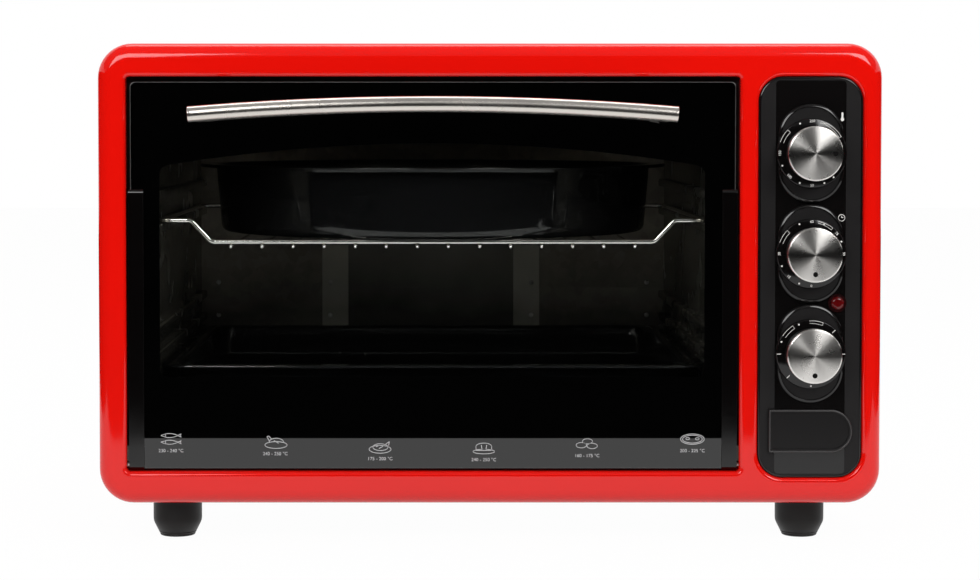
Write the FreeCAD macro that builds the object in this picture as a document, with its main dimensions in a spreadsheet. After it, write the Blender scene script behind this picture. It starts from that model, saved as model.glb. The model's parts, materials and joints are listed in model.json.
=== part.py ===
"""A table-top electric mini oven, built up piece by piece.

The frame is the oven as it stands: +Z up, the door faces -Y, the knobs are on the +X
side, and the origin is on the table below the middle of the whole thing. Lengths are in
millimetres. Every driving size is one row of SIZES.
"""
import FreeCAD, Part
import math
import os
import Sketcher
from FreeCAD import Vector

doc = FreeCAD.newDocument("Oven")
sheet = doc.addObject("Spreadsheet::Sheet", "Sizes")

# Driving sizes: name, length in millimetres, what it measures
SIZES = [
    ("body_width", 520, "pressed front frame, across"),
    ("body_height", 306, "pressed front frame, without the feet"),
    ("body_depth", 385, "front of the frame to the back of the rear panel"),
    ("foot_height", 26, "table to the underside of the frame"),
    ("corner_radius", 23, "rounded corner of the front frame, seen from the front"),
    ("edge_radius", 10, "rolled outer edge of the front frame"),
    ("frame_sheet", 1.2, "enamelled steel of the front frame"),
    ("frame_flange", 20, "depth of the front frame over the wrap"),
    ("rail_height", 22, "frame above and below the door"),
    ("left_stile", 19, "frame left of the door"),
    ("mullion_width", 12, "frame between the door and the controls"),
    ("right_stile", 13.5, "frame right of the controls"),
    ("panel_opening", 69, "width of the opening for the controls"),
    ("panel_sill", 18, "frame below the controls"),
    ("mouth_radius", 2.5, "corner of the door opening"),
    ("panel_radius", 16.5, "corner of the opening for the controls"),
    ("bead_radius", 3, "rolled front edge of both openings"),
    ("wrap_sheet", 0.6, "painted steel of the wrap"),
    ("wrap_gap", 0.1, "slip between the frame flange and the wrap"),
    ("wrap_lap", 9.5, "part of the wrap inside the frame flange"),
    ("wrap_return", 8, "part of the wrap turned in under the base pan"),
    ("rear_flange", 11, "part of the wrap turned in behind the rear panel"),
    ("base_sheet", 0.7, "galvanised steel of the base pan"),
    ("rear_sheet", 0.6, "steel of the rear panel"),
    ("piece_gap", 0.3, "gap left between pieces that are set side by side"),
    ("slot_width", 3.2, "width of a vent slot"),
    ("slot_length", 46, "length of a vent slot"),
    ("slot_pitch", 9, "distance from one vent slot to the next"),
    ("overrun", 2, "how far a cutting tool runs past a face"),
    ("cavity_side", 16.25, "wall of the oven space inside the edge of the door opening"),
    ("cavity_end", 6, "floor and roof of the oven space inside the edges of the door opening"),
    ("cavity_rear", 24.2, "back wall of the oven space in front of the back of the rear panel"),
    ("liner_sheet", 0.5, "aluminised steel of the oven liner"),
    ("flange_lap", 6, "how far the liner's front flange passes the door opening"),
    ("rail_depth", 5, "how far a pressed shelf rail stands out of the side wall"),
    ("rail_thick", 6, "height of a pressed shelf rail"),
    ("rail_edge", 1.5, "rounding of a pressed shelf rail"),
    ("rail_start", 6, "oven wall before and behind a shelf rail"),
    ("guide_rise", 10.5, "shelf rail over the tray's flange, above the rail under it"),
    ("glass_thick", 4, "toughened door glass"),
    ("glass_recess", 5, "front of the glass behind the front of the frame"),
    ("glass_side_gap", 2.7, "door opening to the edge of the glass, each side"),
    ("glass_top_gap", 3.5, "door opening to the top edge of the glass"),
    ("glass_radius", 3, "corner of the glass"),
    ("channel_width", 10, "steel channel over the edge of the glass, across"),
    ("channel_depth", 6.4, "steel channel, front to back"),
    ("channel_sheet", 1, "steel of the channel"),
    ("channel_floor", 1.4, "closed lower end of the channel"),
    ("channel_drop", 70.7, "top of the channel below the top edge of the glass"),
    ("swing_gap", 0.6, "gap between the turning door and what it passes"),
    ("pivot_gap", 2.2, "pivot above the bottom edge of the glass"),
    ("block_height", 12, "hinge block above the pivot"),
    ("pin_radius", 1.5, "hinge pin"),
    ("pin_play", 0.05, "running clearance of a pin or a shaft, on the radius"),
    ("pin_head", 3, "radius of the head of the hinge pin"),
    ("pin_head_thick", 1.6, "thickness of the head of the hinge pin"),
    ("bracket_thick", 2, "hinge bracket"),
    ("bracket_height", 14, "hinge bracket"),
    ("handle_margin", 41.55, "side edge of the glass to the end of the handle"),
    ("handle_radius", 5.2, "tube of the door handle"),
    ("handle_wall", 0.9, "wall of the tube of the door handle"),
    ("handle_rise", 6.7, "middle of the arched handle above its ends"),
    ("handle_drop", 14.9, "middle of the arched handle below the top edge of the glass"),
    ("handle_stand", 33, "front of the glass to the middle of the handle"),
    ("handle_overhang", 19, "handle past its post"),
    ("post_radius", 4.6, "handle post"),
    ("plug_length", 8, "plug in the end of the handle"),
    ("plug_sink", 0.8, "how far the plug is set in"),
    ("bolt_radius", 2, "screw that holds the handle"),
    ("bolt_grip", 14, "length of that screw inside the post"),
    ("bolt_head", 4, "radius of the head of that screw"),
    ("bolt_head_thick", 2.4, "height of the head of that screw"),
    ("washer_radius", 6.5, "fibre washer behind the glass"),
    ("washer_thick", 1, "fibre washer behind the glass"),
    ("panel_recess", 1.5, "face of the control panel behind the front of the frame"),
    ("panel_gap", 0.35, "control panel to the edge of its opening"),
    ("panel_wall", 2.5, "moulded wall of the control panel"),
    ("panel_flange", 4, "rim of the control panel behind the frame"),
    ("panel_back", 19, "front of the frame to the back of the control panel"),
    ("strip_side", 1.8, "glossy inlay past the side of the oval mounds"),
    ("strip_margin", 2.6, "control panel edge to the end of the inlay"),
    ("strip_thick", 0.8, "glossy inlay"),
    ("mound_inset", 0.9, "side of the oval mound inside the edge of its dial"),
    ("mound_gap", 1.3, "oval mound to the next one"),
    ("mound_rise", 2.4, "oval mound above the control panel"),
    ("mound_round", 1.2, "rounded edge of the oval mound"),
    ("dial_radius", 22.4, "dial ring"),
    ("dial_thick", 2.8, "dial ring"),
    ("dial_bevel", 1.6, "bevel of the dial ring"),
    ("knob_gap", 0.5, "dial to the knob"),
    ("knob_radius", 17.2, "black body of a knob"),
    ("knob_height", 17.4, "dial to the face of a knob"),
    ("knob_wall", 2.2, "moulded wall of a knob"),
    ("hub_radius", 6, "hub inside a knob"),
    ("cap_radius", 17.9, "spun metal cap of a knob"),
    ("cap_sheet", 0.6, "metal of the cap"),
    ("cap_skirt", 5, "turned-over edge of the cap"),
    ("cap_round", 0.6, "rounded edge of the cap"),
    ("dot_radius", 1.5, "pointer dot punched in the cap"),
    ("dot_place", 12.6, "pointer dot from the middle of the cap"),
    ("shaft_radius", 3, "shaft of a control"),
    ("shaft_bite", 12, "shaft inside the knob and inside the control"),
    ("plate_sheet", 1.2, "steel plate that carries the controls"),
    ("neck_radius", 5, "neck of a control, through its plate"),
    ("neck_length", 6, "neck of a control in front of its plate"),
    ("thermostat_width", 44, "thermostat body, across"),
    ("thermostat_high", 34, "thermostat body, high"),
    ("thermostat_deep", 30, "thermostat body, deep"),
    ("timer_width", 46, "timer body, across"),
    ("timer_gap", 20.3, "how much lower the timer body is than the way between two dials"),
    ("timer_deep", 28, "timer body, deep"),
    ("bell_radius", 19, "bell of the timer"),
    ("bell_deep", 12, "bell of the timer"),
    ("bell_sheet", 1, "steel of the bell"),
    ("selector_width", 34, "selector switch body, across and high"),
    ("selector_deep", 32, "selector switch body, deep"),
    ("lamp_place", 17.8, "pilot lamp beside the middle of the dials"),
    ("lamp_lift", 0.35, "pilot lamp above the middle between the two lower dials"),
    ("lamp_radius", 4.4, "lens of the pilot lamp"),
    ("lamp_dome", 2.6, "lens of the pilot lamp in front of its holder"),
    ("lamp_seat", 6, "rim of the lamp holder"),
    ("lamp_seat_thick", 1.2, "rim of the lamp holder"),
    ("lamp_body", 28, "length of the lamp holder behind its rim"),
    ("badge_margin", 6.85, "edge of the opening for the controls to the blank badge"),
    ("badge_thick", 2.6, "blank badge"),
    ("badge_rim", 2.2, "raised rim of the badge"),
    ("badge_sink", 0.9, "field of the badge below its rim"),
    ("badge_shift", 0.4, "middle of the badge beside the middle of the dials"),
    ("element_radius", 3.25, "tubular heating element"),
    ("element_bend", 26, "bend of the heating element"),
    ("element_inset", 52, "heating element to the front and the back of the oven space"),
    ("element_side_gap", 26, "heating element to the left side wall"),
    ("element_drop", 22, "upper heating element below the roof"),
    ("element_lift", 16, "lower heating element above the floor"),
    ("element_tail", 34, "heating element past the right side wall"),
    ("bush_radius", 6, "ceramic bush of the heating element"),
    ("bush_collar", 8, "collar of the ceramic bush"),
    ("bush_collar_thick", 3, "collar of the ceramic bush"),
    ("bush_nose", 2, "ceramic bush inside the oven space"),
    ("bush_length", 27, "ceramic bush, end to end"),
    ("clip_width", 14, "clip that carries the heating element"),
    ("clip_thick", 1.5, "clip that carries the heating element"),
    ("shield_sheet", 0.5, "heat shield beside the controls"),
    ("shield_foot", 12, "foot of the heat shield"),
    ("hat_width", 36, "support strip under the oven space, front to back"),
    ("hat_flange", 9, "flange of the support strip"),
    ("hat_inset", 60, "support strip to the front and the back of the oven space"),
    ("hat_margin", 30, "support strip to the sides of the oven space"),
    ("bulb_radius", 3, "thermostat bulb"),
    ("bulb_length", 70, "thermostat bulb"),
    ("bulb_place", 90, "thermostat bulb behind the front of the oven space"),
    ("bulb_wall_gap", 7, "thermostat bulb to the side wall"),
    ("bulb_rise", 12.7, "thermostat bulb above the middle of its dial"),
    ("capillary_radius", 1, "capillary tube of the thermostat"),
    ("capillary_bend", 6, "bend of the capillary tube"),
    ("screw_radius", 1.8, "sheet metal screw"),
    ("screw_head", 3.6, "radius of the head of a sheet metal screw"),
    ("screw_head_thick", 2, "height of the head of a sheet metal screw"),
    ("screw_length", 9, "sheet metal screw below its head"),
    ("screw_slot", 0.9, "width of the slot in the head of a screw"),
    ("screw_slot_deep", 0.8, "depth of the slot in the head of a screw"),
    ("gland_radius", 6.5, "neck of the cord gland, in the rear panel"),
    ("gland_rim", 10, "rim of the cord gland"),
    ("gland_rim_thick", 3, "rim of the cord gland"),
    ("gland_reach", 8, "cord gland behind the rear panel"),
    ("gland_bore", 4, "radius of the bore of the cord gland"),
    ("gland_inside", 9, "cord gland inside the rear panel"),
    ("gland_place", 36, "cord gland above the underside of the frame"),
    ("block_width", 40, "terminal block, across"),
    ("block_deep", 18, "terminal block, deep"),
    ("block_high", 20, "terminal block, high"),
    ("block_back", 90, "terminal block in front of the rear panel"),
    ("foot_radius", 16.4, "foot, upper part"),
    ("foot_toe", 11.4, "foot, at the table"),
    ("foot_straight", 12, "straight upper part of the foot, below the frame"),
    ("foot_side", 49, "foot inside the side of the front frame"),
    ("foot_back", 38, "front foot behind the front of the frame"),
    ("foot_rear", 46, "rear foot in front of the rear panel"),
    ("foot_bolt", 2.5, "screw through the foot"),
    ("foot_bolt_head", 4.5, "radius of the head of that screw"),
    ("foot_bolt_thick", 3, "height of the head of that screw"),
    ("foot_bore", 5.5, "recess of that screw in the foot"),
    ("foot_ledge", 8, "top of the recess below the top of the foot"),
    ("foot_bolt_rise", 9, "that screw above the base pan"),
    ("wire_radius", 1.9, "frame wire of the rack"),
    ("rod_radius", 1.2, "cross wire of the rack"),
    ("rack_side", 3.1, "side wire of the rack to the wall of the oven space"),
    ("rack_place", 29.2, "front wire of the rack behind the mouth of the oven"),
    ("rack_rear", 34.8, "rear wire of the rack to the back wall of the oven space"),
    ("rack_dip", 14.6, "lowered middle of the rack below its side wires"),
    ("rack_shoulder", 33.9, "side wire of the rack to its lowered middle"),
    ("rack_slope", 13.5, "width of the sloping part of the rack's end wires"),
    ("rack_bend", 6, "bend of the frame wire"),
    ("rod_margin", 13.5, "outermost cross wire inside the lowered middle of the rack"),
    ("rod_tip", 3, "cross wire past the frame wire"),
    ("pan_side", 17, "rim of the round pan to the wall of the oven space"),
    ("pan_end", 5, "least gap from the rim of the round pan to the back wall"),
    ("pan_brim", 11, "flat brim of the round pan"),
    ("pan_taper", 5, "how much narrower the round pan is at its base"),
    ("pan_height", 49, "round pan"),
    ("pan_sheet", 0.8, "enamelled steel of the pan and the tray"),
    ("pan_round", 8, "bottom corner of the round pan"),
    ("pan_lip", 2.4, "turned-down edge of the round pan"),
    ("tray_side", 3, "flange of the square tray to the wall of the oven space"),
    ("tray_rear", 15, "square tray to the back wall of the oven space"),
    ("tray_height", 27, "square tray"),
    ("tray_flange", 12, "flange of the square tray"),
    ("tray_radius", 18, "corner of the square tray's hollow"),
    ("tray_corner", 10, "corner of the square tray's flange"),
    ("tray_round", 6, "bottom edge of the square tray"),
    ("tray_place", 9, "square tray behind the mouth of the oven"),
]

for row, (name, length, meaning) in enumerate(SIZES, start=1):
    sheet.set(f"A{row}", name)
    sheet.set(f"B{row}", str(length))
    sheet.set(f"C{row}", meaning)
    sheet.setAlias(f"B{row}", name)
doc.recompute()


class Size:
    """A length that knows its value and the sheet expression that gives it."""

    def __init__(self, value, text):
        self.value = value
        self.text = text

    def __add__(self, other):
        other = sized(other)
        return Size(self.value + other.value, f"({self.text} + {other.text})")

    def __sub__(self, other):
        other = sized(other)
        return Size(self.value - other.value, f"({self.text} - {other.text})")

    def __mul__(self, other):
        other = sized(other)
        return Size(self.value * other.value, f"({self.text} * {other.text})")

    def __truediv__(self, other):
        other = sized(other)
        return Size(self.value / other.value, f"({self.text} / {other.text})")

    def __neg__(self):
        return Size(-self.value, f"(0 - {self.text})")

    __radd__ = __add__
    __rmul__ = __mul__

    def __rsub__(self, other):
        return sized(other) - self

    def least(self, other):
        return Size(min(self.value, other.value), f"min({self.text}; {other.text})")

    def root(self):
        return Size(math.sqrt(self.value), f"sqrt({self.text})")

    def arcsine(self):
        return Size(math.degrees(math.asin(self.value)), f"asin({self.text})")


def sized(number):
    """Return number as a Size; plain numbers are counts and shares."""
    if isinstance(number, Size):
        return number
    return Size(number, f"({number})")


class Names:
    """The rows of the sheet, by name."""


d = Names()
for name, length, meaning in SIZES:
    setattr(d, name, Size(getattr(sheet, name), f"Sizes.{name}"))

ZERO = sized(0)
QUARTER_TURN = 90
SNAP = 1e-4
X_AXIS = Vector(1, 0, 0)
Y_AXIS = Vector(0, 1, 0)
Z_AXIS = Vector(0, 0, 1)
KEPT = []


# Helpers for objects, primitives and booleans

def bind(item, prop, size):
    """Tie one property of an object to the sheet."""
    item.setExpression(prop, sized(size).text)


def place(item, x=ZERO, y=ZERO, z=ZERO, axis=None, angle=0):
    """Give an object its place, tied to the sheet, and a turn."""
    turn = FreeCAD.Rotation(axis, angle) if axis else FreeCAD.Rotation()
    item.Placement = FreeCAD.Placement(Vector(sized(x).value, sized(y).value, sized(z).value), turn)
    bind(item, "Placement.Base.x", x)
    bind(item, "Placement.Base.y", y)
    bind(item, "Placement.Base.z", z)
    return item


def box(x0, x1, y0, y1, z0, z1):
    """A block between two corners."""
    item = doc.addObject("Part::Box", "Block")
    bind(item, "Length", x1 - x0)
    bind(item, "Width", y1 - y0)
    bind(item, "Height", z1 - z0)
    return place(item, x0, y0, z0)


TURNS = {"X": (Y_AXIS, QUARTER_TURN), "Y": (X_AXIS, -QUARTER_TURN), "Z": (None, 0)}


def rod(axis, x, y, z, radius, length):
    """A cylinder that starts at a point and runs along +X, +Y or +Z."""
    item = doc.addObject("Part::Cylinder", "Rod")
    bind(item, "Radius", radius)
    bind(item, "Height", length)
    turn, angle = TURNS[axis]
    return place(item, x, y, z, turn, angle)


def cut(base, *tools):
    """Take tools away from base."""
    tool = fuse(*tools) if len(tools) > 1 else tools[0]
    item = doc.addObject("Part::Cut", "Cut")
    item.Base = base
    item.Tool = tool
    return item


def fuse(*items):
    """Join several solids that touch into one."""
    if len(items) == 1:
        return items[0]
    item = doc.addObject("Part::MultiFuse", "Joined")
    item.Shapes = list(items)
    item.Refine = True
    return item


def group(*items):
    """Several separate solids kept under one name."""
    item = doc.addObject("Part::Compound", "Set")
    item.Links = list(items)
    return item


def keep(item, label):
    """Name a finished sub-part."""
    item.Label = label
    KEPT.append(item)
    return item


# Helpers for bodies, sketches and features

def new_body(label):
    body = doc.addObject("PartDesign::Body", "Body")
    return keep(body, label)


def new_sketch(body, role, level=ZERO):
    """A sketch on one origin plane of the body, moved along the plane's normal."""
    planes = [p for p in body.Origin.OriginFeatures if p.Role == role]
    sketch = body.newObject("Sketcher::SketchObject", "Sketch")
    sketch.AttachmentSupport = (planes[0], [""])
    sketch.MapMode = "FlatFace"
    sketch.AttachmentOffset = FreeCAD.Placement(Vector(0, 0, sized(level).value), FreeCAD.Rotation())
    bind(sketch, "AttachmentOffset.Base.z", level)
    return sketch


def front_sketch(body, y):
    """A sketch seen from the front, at a given distance along Y: its axes are X and Z."""
    return new_sketch(body, "XZ_Plane", -sized(y))


def plan_sketch(body, z):
    """A sketch seen from above, at a given height: its axes are X and Y."""
    return new_sketch(body, "XY_Plane", z)


def side_sketch(body, x):
    """A sketch seen from the right, at a given distance along X: its axes are Y and Z."""
    return new_sketch(body, "YZ_Plane", x)


def fix_point(sketch, item, end, x, y):
    """Hold one point of a sketch at a place tied to the sheet."""
    across = sketch.addConstraint(Sketcher.Constraint("DistanceX", -1, 1, item, end, sized(x).value))
    bind(sketch, f"Constraints[{across}]", x)
    upward = sketch.addConstraint(Sketcher.Constraint("DistanceY", -1, 1, item, end, sized(y).value))
    bind(sketch, f"Constraints[{upward}]", y)


def polygon(sketch, points):
    """A closed outline of straight lines through points."""
    first = sketch.GeometryCount
    count = len(points)
    for i in range(count):
        x0, y0 = (sized(v).value for v in points[i])
        x1, y1 = (sized(v).value for v in points[(i + 1) % count])
        sketch.addGeometry(Part.LineSegment(Vector(x0, y0, 0), Vector(x1, y1, 0)))
    for i in range(count):
        sketch.addConstraint(Sketcher.Constraint("Coincident", first + i, 2, first + (i + 1) % count, 1))
        fix_point(sketch, first + i, 1, *points[i])
    return sketch


def rectangle(sketch, left, right, bottom, top):
    return polygon(sketch, [(left, bottom), (right, bottom), (right, top), (left, top)])


def rounded(sketch, left, right, bottom, top, radius):
    """A rectangle with four round corners, held by the middles of its corners."""
    left, right, bottom, top, radius = (sized(v) for v in (left, right, bottom, top, radius))
    first = sketch.GeometryCount
    xs = (left + radius, right - radius)
    ys = (bottom + radius, top - radius)
    r = radius.value
    centres = [(xs[0], ys[0]), (xs[1], ys[0]), (xs[1], ys[1]), (xs[0], ys[1])]
    for i, (cx, cy) in enumerate(centres):
        start = math.pi + i * math.pi / 2
        circle = Part.Circle(Vector(cx.value, cy.value, 0), Z_AXIS, r)
        sketch.addGeometry(Part.ArcOfCircle(circle, start, start + math.pi / 2))
    for i in range(4):
        a = sketch.getPoint(first + i, 2)
        b = sketch.getPoint(first + (i + 1) % 4, 1)
        sketch.addGeometry(Part.LineSegment(a, b))
    for i in range(4):
        sketch.addConstraint(Sketcher.Constraint("Tangent", first + i, 2, first + 4 + i, 1))
        sketch.addConstraint(Sketcher.Constraint("Tangent", first + 4 + i, 2, first + (i + 1) % 4, 1))
    round_corner = sketch.addConstraint(Sketcher.Constraint("Radius", first, r))
    bind(sketch, f"Constraints[{round_corner}]", radius)
    for i in (1, 2, 3):
        sketch.addConstraint(Sketcher.Constraint("Equal", first, first + i))
    sketch.addConstraint(Sketcher.Constraint("Horizontal", first + 4))
    sketch.addConstraint(Sketcher.Constraint("Vertical", first + 5))
    fix_point(sketch, first, 3, *centres[0])
    fix_point(sketch, first + 2, 3, *centres[2])
    return sketch


def circle(sketch, x, y, radius):
    x, y, radius = sized(x), sized(y), sized(radius)
    item = sketch.addGeometry(Part.Circle(Vector(x.value, y.value, 0), Z_AXIS, radius.value))
    rim = sketch.addConstraint(Sketcher.Constraint("Radius", item, radius.value))
    bind(sketch, f"Constraints[{rim}]", radius)
    fix_point(sketch, item, 3, x, y)
    return sketch


def feature(body, kind, sketch, length=None, backwards=False):
    """Add one feature that is driven by a sketch."""
    item = body.newObject(f"PartDesign::{kind}", kind)
    item.Profile = sketch
    if length is not None:
        item.Length = sized(length).value
        bind(item, "Length", length)
    item.Reversed = backwards
    sketch.Visibility = False
    return item


def pad(body, sketch, length, backwards=False):
    item = feature(body, "Pad", sketch, length, backwards)
    doc.recompute()
    return item


def pocket(body, sketch, length, backwards=False):
    """Cut a sketch into the body, and make sure that something was cut."""
    before = body.Shape.Volume
    item = feature(body, "Pocket", sketch, length, backwards)
    doc.recompute()
    if body.Shape.Volume > before - SNAP:
        raise ValueError(f"{body.Label}: {item.Name} cuts nothing")
    return item


def revolve(body, sketch, axis_name="V_Axis", kind="Revolution", angle=360):
    item = feature(body, kind, sketch)
    item.ReferenceAxis = (sketch, [axis_name])
    item.Angle = sized(angle).value
    if isinstance(angle, Size):
        bind(item, "Angle", angle)
    doc.recompute()
    return item


def edges_where(shape, test):
    return [f"Edge{i}" for i, edge in enumerate(shape.Edges, start=1) if test(edge)]


def fillet(body, radius, test):
    """Round the edges of the body that pass the test."""
    base = body.Tip
    names = edges_where(base.Shape, test)
    item = body.newObject("PartDesign::Fillet", "Fillet")
    item.Base = (base, names)
    item.Radius = sized(radius).value
    bind(item, "Radius", radius)
    doc.recompute()
    return item


def near(a, b):
    return abs(a - sized(b).value) < SNAP


def flat_at(edge, axis, level):
    """True if the whole edge lies at one level along an axis."""
    bb = edge.BoundBox
    low, high = {"X": (bb.XMin, bb.XMax), "Y": (bb.YMin, bb.YMax), "Z": (bb.ZMin, bb.ZMax)}[axis]
    return near(low, level) and near(high, level)


# Helper for bent wire and tube

def bent_path(points, bend):
    """A wire of straight runs through points, joined by tangent arcs."""
    points = [Vector(*(sized(v).value for v in p)) for p in points]
    radius = sized(bend).value
    edges = []
    start = points[0]
    for before, corner, after in zip(points, points[1:], points[2:]):
        into = (corner - before).normalize()
        out = (after - corner).normalize()
        half = into.getAngle(out) / 2
        reach = radius * math.tan(half)
        entry = corner - into * reach
        leave = corner + out * reach
        inward = (out - into).normalize()
        middle = corner + inward * (radius / math.cos(half) - radius)
        edges.append(Part.LineSegment(start, entry).toShape())
        edges.append(Part.Arc(entry, middle, leave).toShape())
        start = leave
    edges.append(Part.LineSegment(start, points[-1]).toShape())
    return Part.Wire(edges)


def tube(points, bend, radius):
    """A round bar along a bent path."""
    path = bent_path(points, bend)
    first = path.Edges[0]
    start = first.Vertexes[0].Point
    ring = Part.Circle(start, first.tangentAt(first.FirstParameter), sized(radius).value).toShape()
    solid = path.makePipeShell([Part.Wire([ring])], True, True)
    item = doc.addObject("Part::Feature", "Tube")
    item.Shape = solid
    return item


# Places that several pieces share

front = -(d.body_depth + d.gland_reach - d.handle_stand - d.handle_radius + d.glass_recess) / 2
back = front + d.body_depth
left = -d.body_width / 2
right = d.body_width / 2
bottom = d.foot_height
top = d.foot_height + d.body_height

mouth_left = left + d.left_stile
mouth_right = right - d.right_stile - d.panel_opening - d.mullion_width
mouth_bottom = bottom + d.rail_height
mouth_top = top - d.rail_height
panel_left = mouth_right + d.mullion_width
panel_right = right - d.right_stile
panel_bottom = bottom + d.panel_sill
panel_top = mouth_top
door_middle = (mouth_left + mouth_right) / 2
dial_middle = (panel_left + panel_right) / 2

glass_front = front + d.glass_recess
glass_back = glass_front + d.glass_thick
pivot_y = glass_front + d.glass_thick / 2
pivot_z = mouth_bottom + d.swing_gap + d.channel_depth / 2
glass_left = mouth_left + d.glass_side_gap
glass_right = mouth_right - d.glass_side_gap
glass_bottom = pivot_z - d.pivot_gap
glass_top = mouth_top - d.glass_top_gap

mouth = pivot_y + d.channel_depth / 2 + d.swing_gap
cavity_left = mouth_left + d.cavity_side
cavity_right = mouth_right - d.cavity_side
cavity_back = back - d.cavity_rear
cavity_floor = mouth_bottom + d.cavity_end
cavity_roof = mouth_top - d.cavity_end
cavity_width = cavity_right - cavity_left
cavity_depth = cavity_back - mouth
cavity_height = cavity_roof - cavity_floor

wrap_inset = d.frame_sheet + d.wrap_gap
inner_inset = wrap_inset + d.wrap_sheet
base_under = bottom + inner_inset
base_top = base_under + d.base_sheet
base_half = d.body_width / 2 - d.corner_radius
return_edge = base_half - d.wrap_return
shield_x = panel_left - d.mullion_width / 2

TOP_RAIL_SHARE = 0.708
RACK_RAIL_SHARE = 0.618
SPARE_RAIL_SHARE = 0.348
TRAY_RAIL_SHARE = 0.236
top_rail = cavity_floor + cavity_height * TOP_RAIL_SHARE
rack_rail = cavity_floor + cavity_height * RACK_RAIL_SHARE
spare_rail = cavity_floor + cavity_height * SPARE_RAIL_SHARE
tray_rail = cavity_floor + cavity_height * TRAY_RAIL_SHARE
guide_rail = tray_rail + d.guide_rise
rail_levels = [top_rail, rack_rail, spare_rail, guide_rail, tray_rail]

rack_half = cavity_width / 2 - d.rack_side
rack_flat = rack_half - d.rack_shoulder
rack_span = cavity_depth - d.rack_place - d.rack_rear
rack_height = rack_rail + d.rail_thick / 2 + d.wire_radius
rack_low = rack_height - d.rack_dip
rack_front = mouth + d.rack_place
rack_middle = rack_front + rack_span / 2
tray_under = tray_rail + d.rail_thick / 2
wrap_front = front + d.frame_flange - d.wrap_lap
panel_face = front + d.panel_recess
plate_front = front + d.panel_back
plate_back = plate_front + d.plate_sheet
mound_face = panel_face - d.mound_rise
dial_face = mound_face - d.dial_thick
knob_base = dial_face - d.knob_gap

DIAL_DROP_SHARE = 0.1906
DIAL_PITCH_SHARE = 0.24925
BADGE_PLACE_SHARE = 0.0639
BADGE_HEIGHT_SHARE = 0.10714
panel_height = panel_top - panel_bottom
dial_top = panel_top - panel_height * DIAL_DROP_SHARE
dial_pitch = panel_height * DIAL_PITCH_SHARE
badge_low = panel_bottom + panel_height * BADGE_PLACE_SHARE
badge_height = panel_height * BADGE_HEIGHT_SHARE
dials = {
    "thermostat": dial_top,
    "timer": dial_top - dial_pitch,
    "selector": dial_top - dial_pitch * 2,
}
mound_width = (d.dial_radius - d.mound_inset) * 2
mound_height = dial_pitch - d.mound_gap
lamp_height = (dials["timer"] + dials["selector"]) / 2 + d.lamp_lift
bulb_height = dial_top + d.bulb_rise
gland_x = (shield_x + right) / 2
gland_height = bottom + d.gland_place
foot_places = [(side * (right - d.foot_side), y) for y in (front + d.foot_back, back - d.foot_rear)
               for side in (-1, 1)]


# Casing

def front_frame():
    """Pressed front: rolled outer edge, and two openings whose edges are rolled in to short lips."""
    body = new_body("front_frame")
    rim = front_sketch(body, front)
    rounded(rim, left, right, bottom, top, d.corner_radius)
    pad(body, rim, d.frame_flange, backwards=True)
    openings = front_sketch(body, front - d.overrun)
    rounded(openings, mouth_left, mouth_right, mouth_bottom, mouth_top, d.mouth_radius)
    rounded(openings, panel_left, panel_right, panel_bottom, panel_top, d.panel_radius)
    pocket(body, openings, d.frame_flange + d.overrun * 2)

    def on_opening(edge):
        bb = edge.BoundBox
        of_door = bb.XMin > mouth_left.value - SNAP and bb.XMax < mouth_right.value + SNAP
        of_panel = bb.XMin > panel_left.value - SNAP and bb.XMax < panel_right.value + SNAP
        return (of_door or of_panel) and flat_at(edge, "Y", front)

    fillet(body, d.bead_radius, on_opening)
    fillet(body, d.edge_radius, lambda e: flat_at(e, "Y", front) and flat_at(e, "X", left))
    open_back = front + d.frame_flange
    faces = [f"Face{i}" for i, f in enumerate(body.Shape.Faces, start=1) if flat_at(f, "Y", open_back)]
    shell = body.newObject("PartDesign::Thickness", "Thickness")
    shell.Base = (body.Tip if body.Tip != shell else shell.BaseFeature, faces)
    shell.Value = d.frame_sheet.value
    bind(shell, "Value", d.frame_sheet)
    shell.Reversed = True
    doc.recompute()
    short = front_sketch(body, mouth)
    grow = d.frame_sheet * 2
    rounded(short, mouth_left - grow, mouth_right + grow, mouth_bottom - grow, mouth_top + grow,
            d.mouth_radius + grow)
    rounded(short, panel_left - grow, panel_right + grow, panel_bottom - grow, panel_top + grow,
            d.panel_radius + grow)
    pocket(body, short, d.frame_flange + d.overrun)
    for x, away in ((mouth_left + d.glass_side_gap / 2, False), (mouth_right - d.glass_side_gap / 2, True)):
        hole = side_sketch(body, x)
        circle(hole, pivot_y, pivot_z, d.pin_radius + d.pin_play)
        pocket(body, hole, d.glass_side_gap / 2 + d.frame_sheet + d.overrun, backwards=away)


SIDE_SLOTS = 14
TOP_SLOTS = 16
REAR_SLOTS = 20
BASE_SLOTS = 4
LOW_SHARE = 0.2
REAR_VENT_SHARE = 0.25
TOP_VENT_SHARE = 0.333
low_line = bottom + d.body_height * LOW_SHARE
high_line = top - d.body_height * LOW_SHARE
rear_inset = wrap_inset + d.rear_flange / 2
rear_side = right - rear_inset
rear_screws = [(side * rear_side, z) for side in (-1, 1)
               for z in (low_line, bottom + d.body_height / 2, high_line)]
rear_screws += [(side * d.body_width / 4, top - rear_inset) for side in (-1, 1)]
base_screws = [(side * d.body_width / 4, base_top + d.rear_flange / 2) for side in (-1, 1)]
screw_bore = d.screw_radius + d.pin_play


def slots(body, sketch, first, depth, count, axis_role, backwards=False):
    """A row of vent slots, cut once and repeated along an axis."""
    rounded(sketch, *first, d.slot_width / 2 - d.pin_play)
    slot = pocket(body, sketch, depth, backwards)
    pattern = body.newObject("PartDesign::LinearPattern", "Row")
    pattern.Originals = [slot]
    pattern.Direction = ([a for a in body.Origin.OriginFeatures if a.Role == axis_role][0], [""])
    pattern.Occurrences = count
    bind(pattern, "Length", d.slot_pitch * (count - 1))
    body.Tip = pattern
    doc.recompute()


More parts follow.
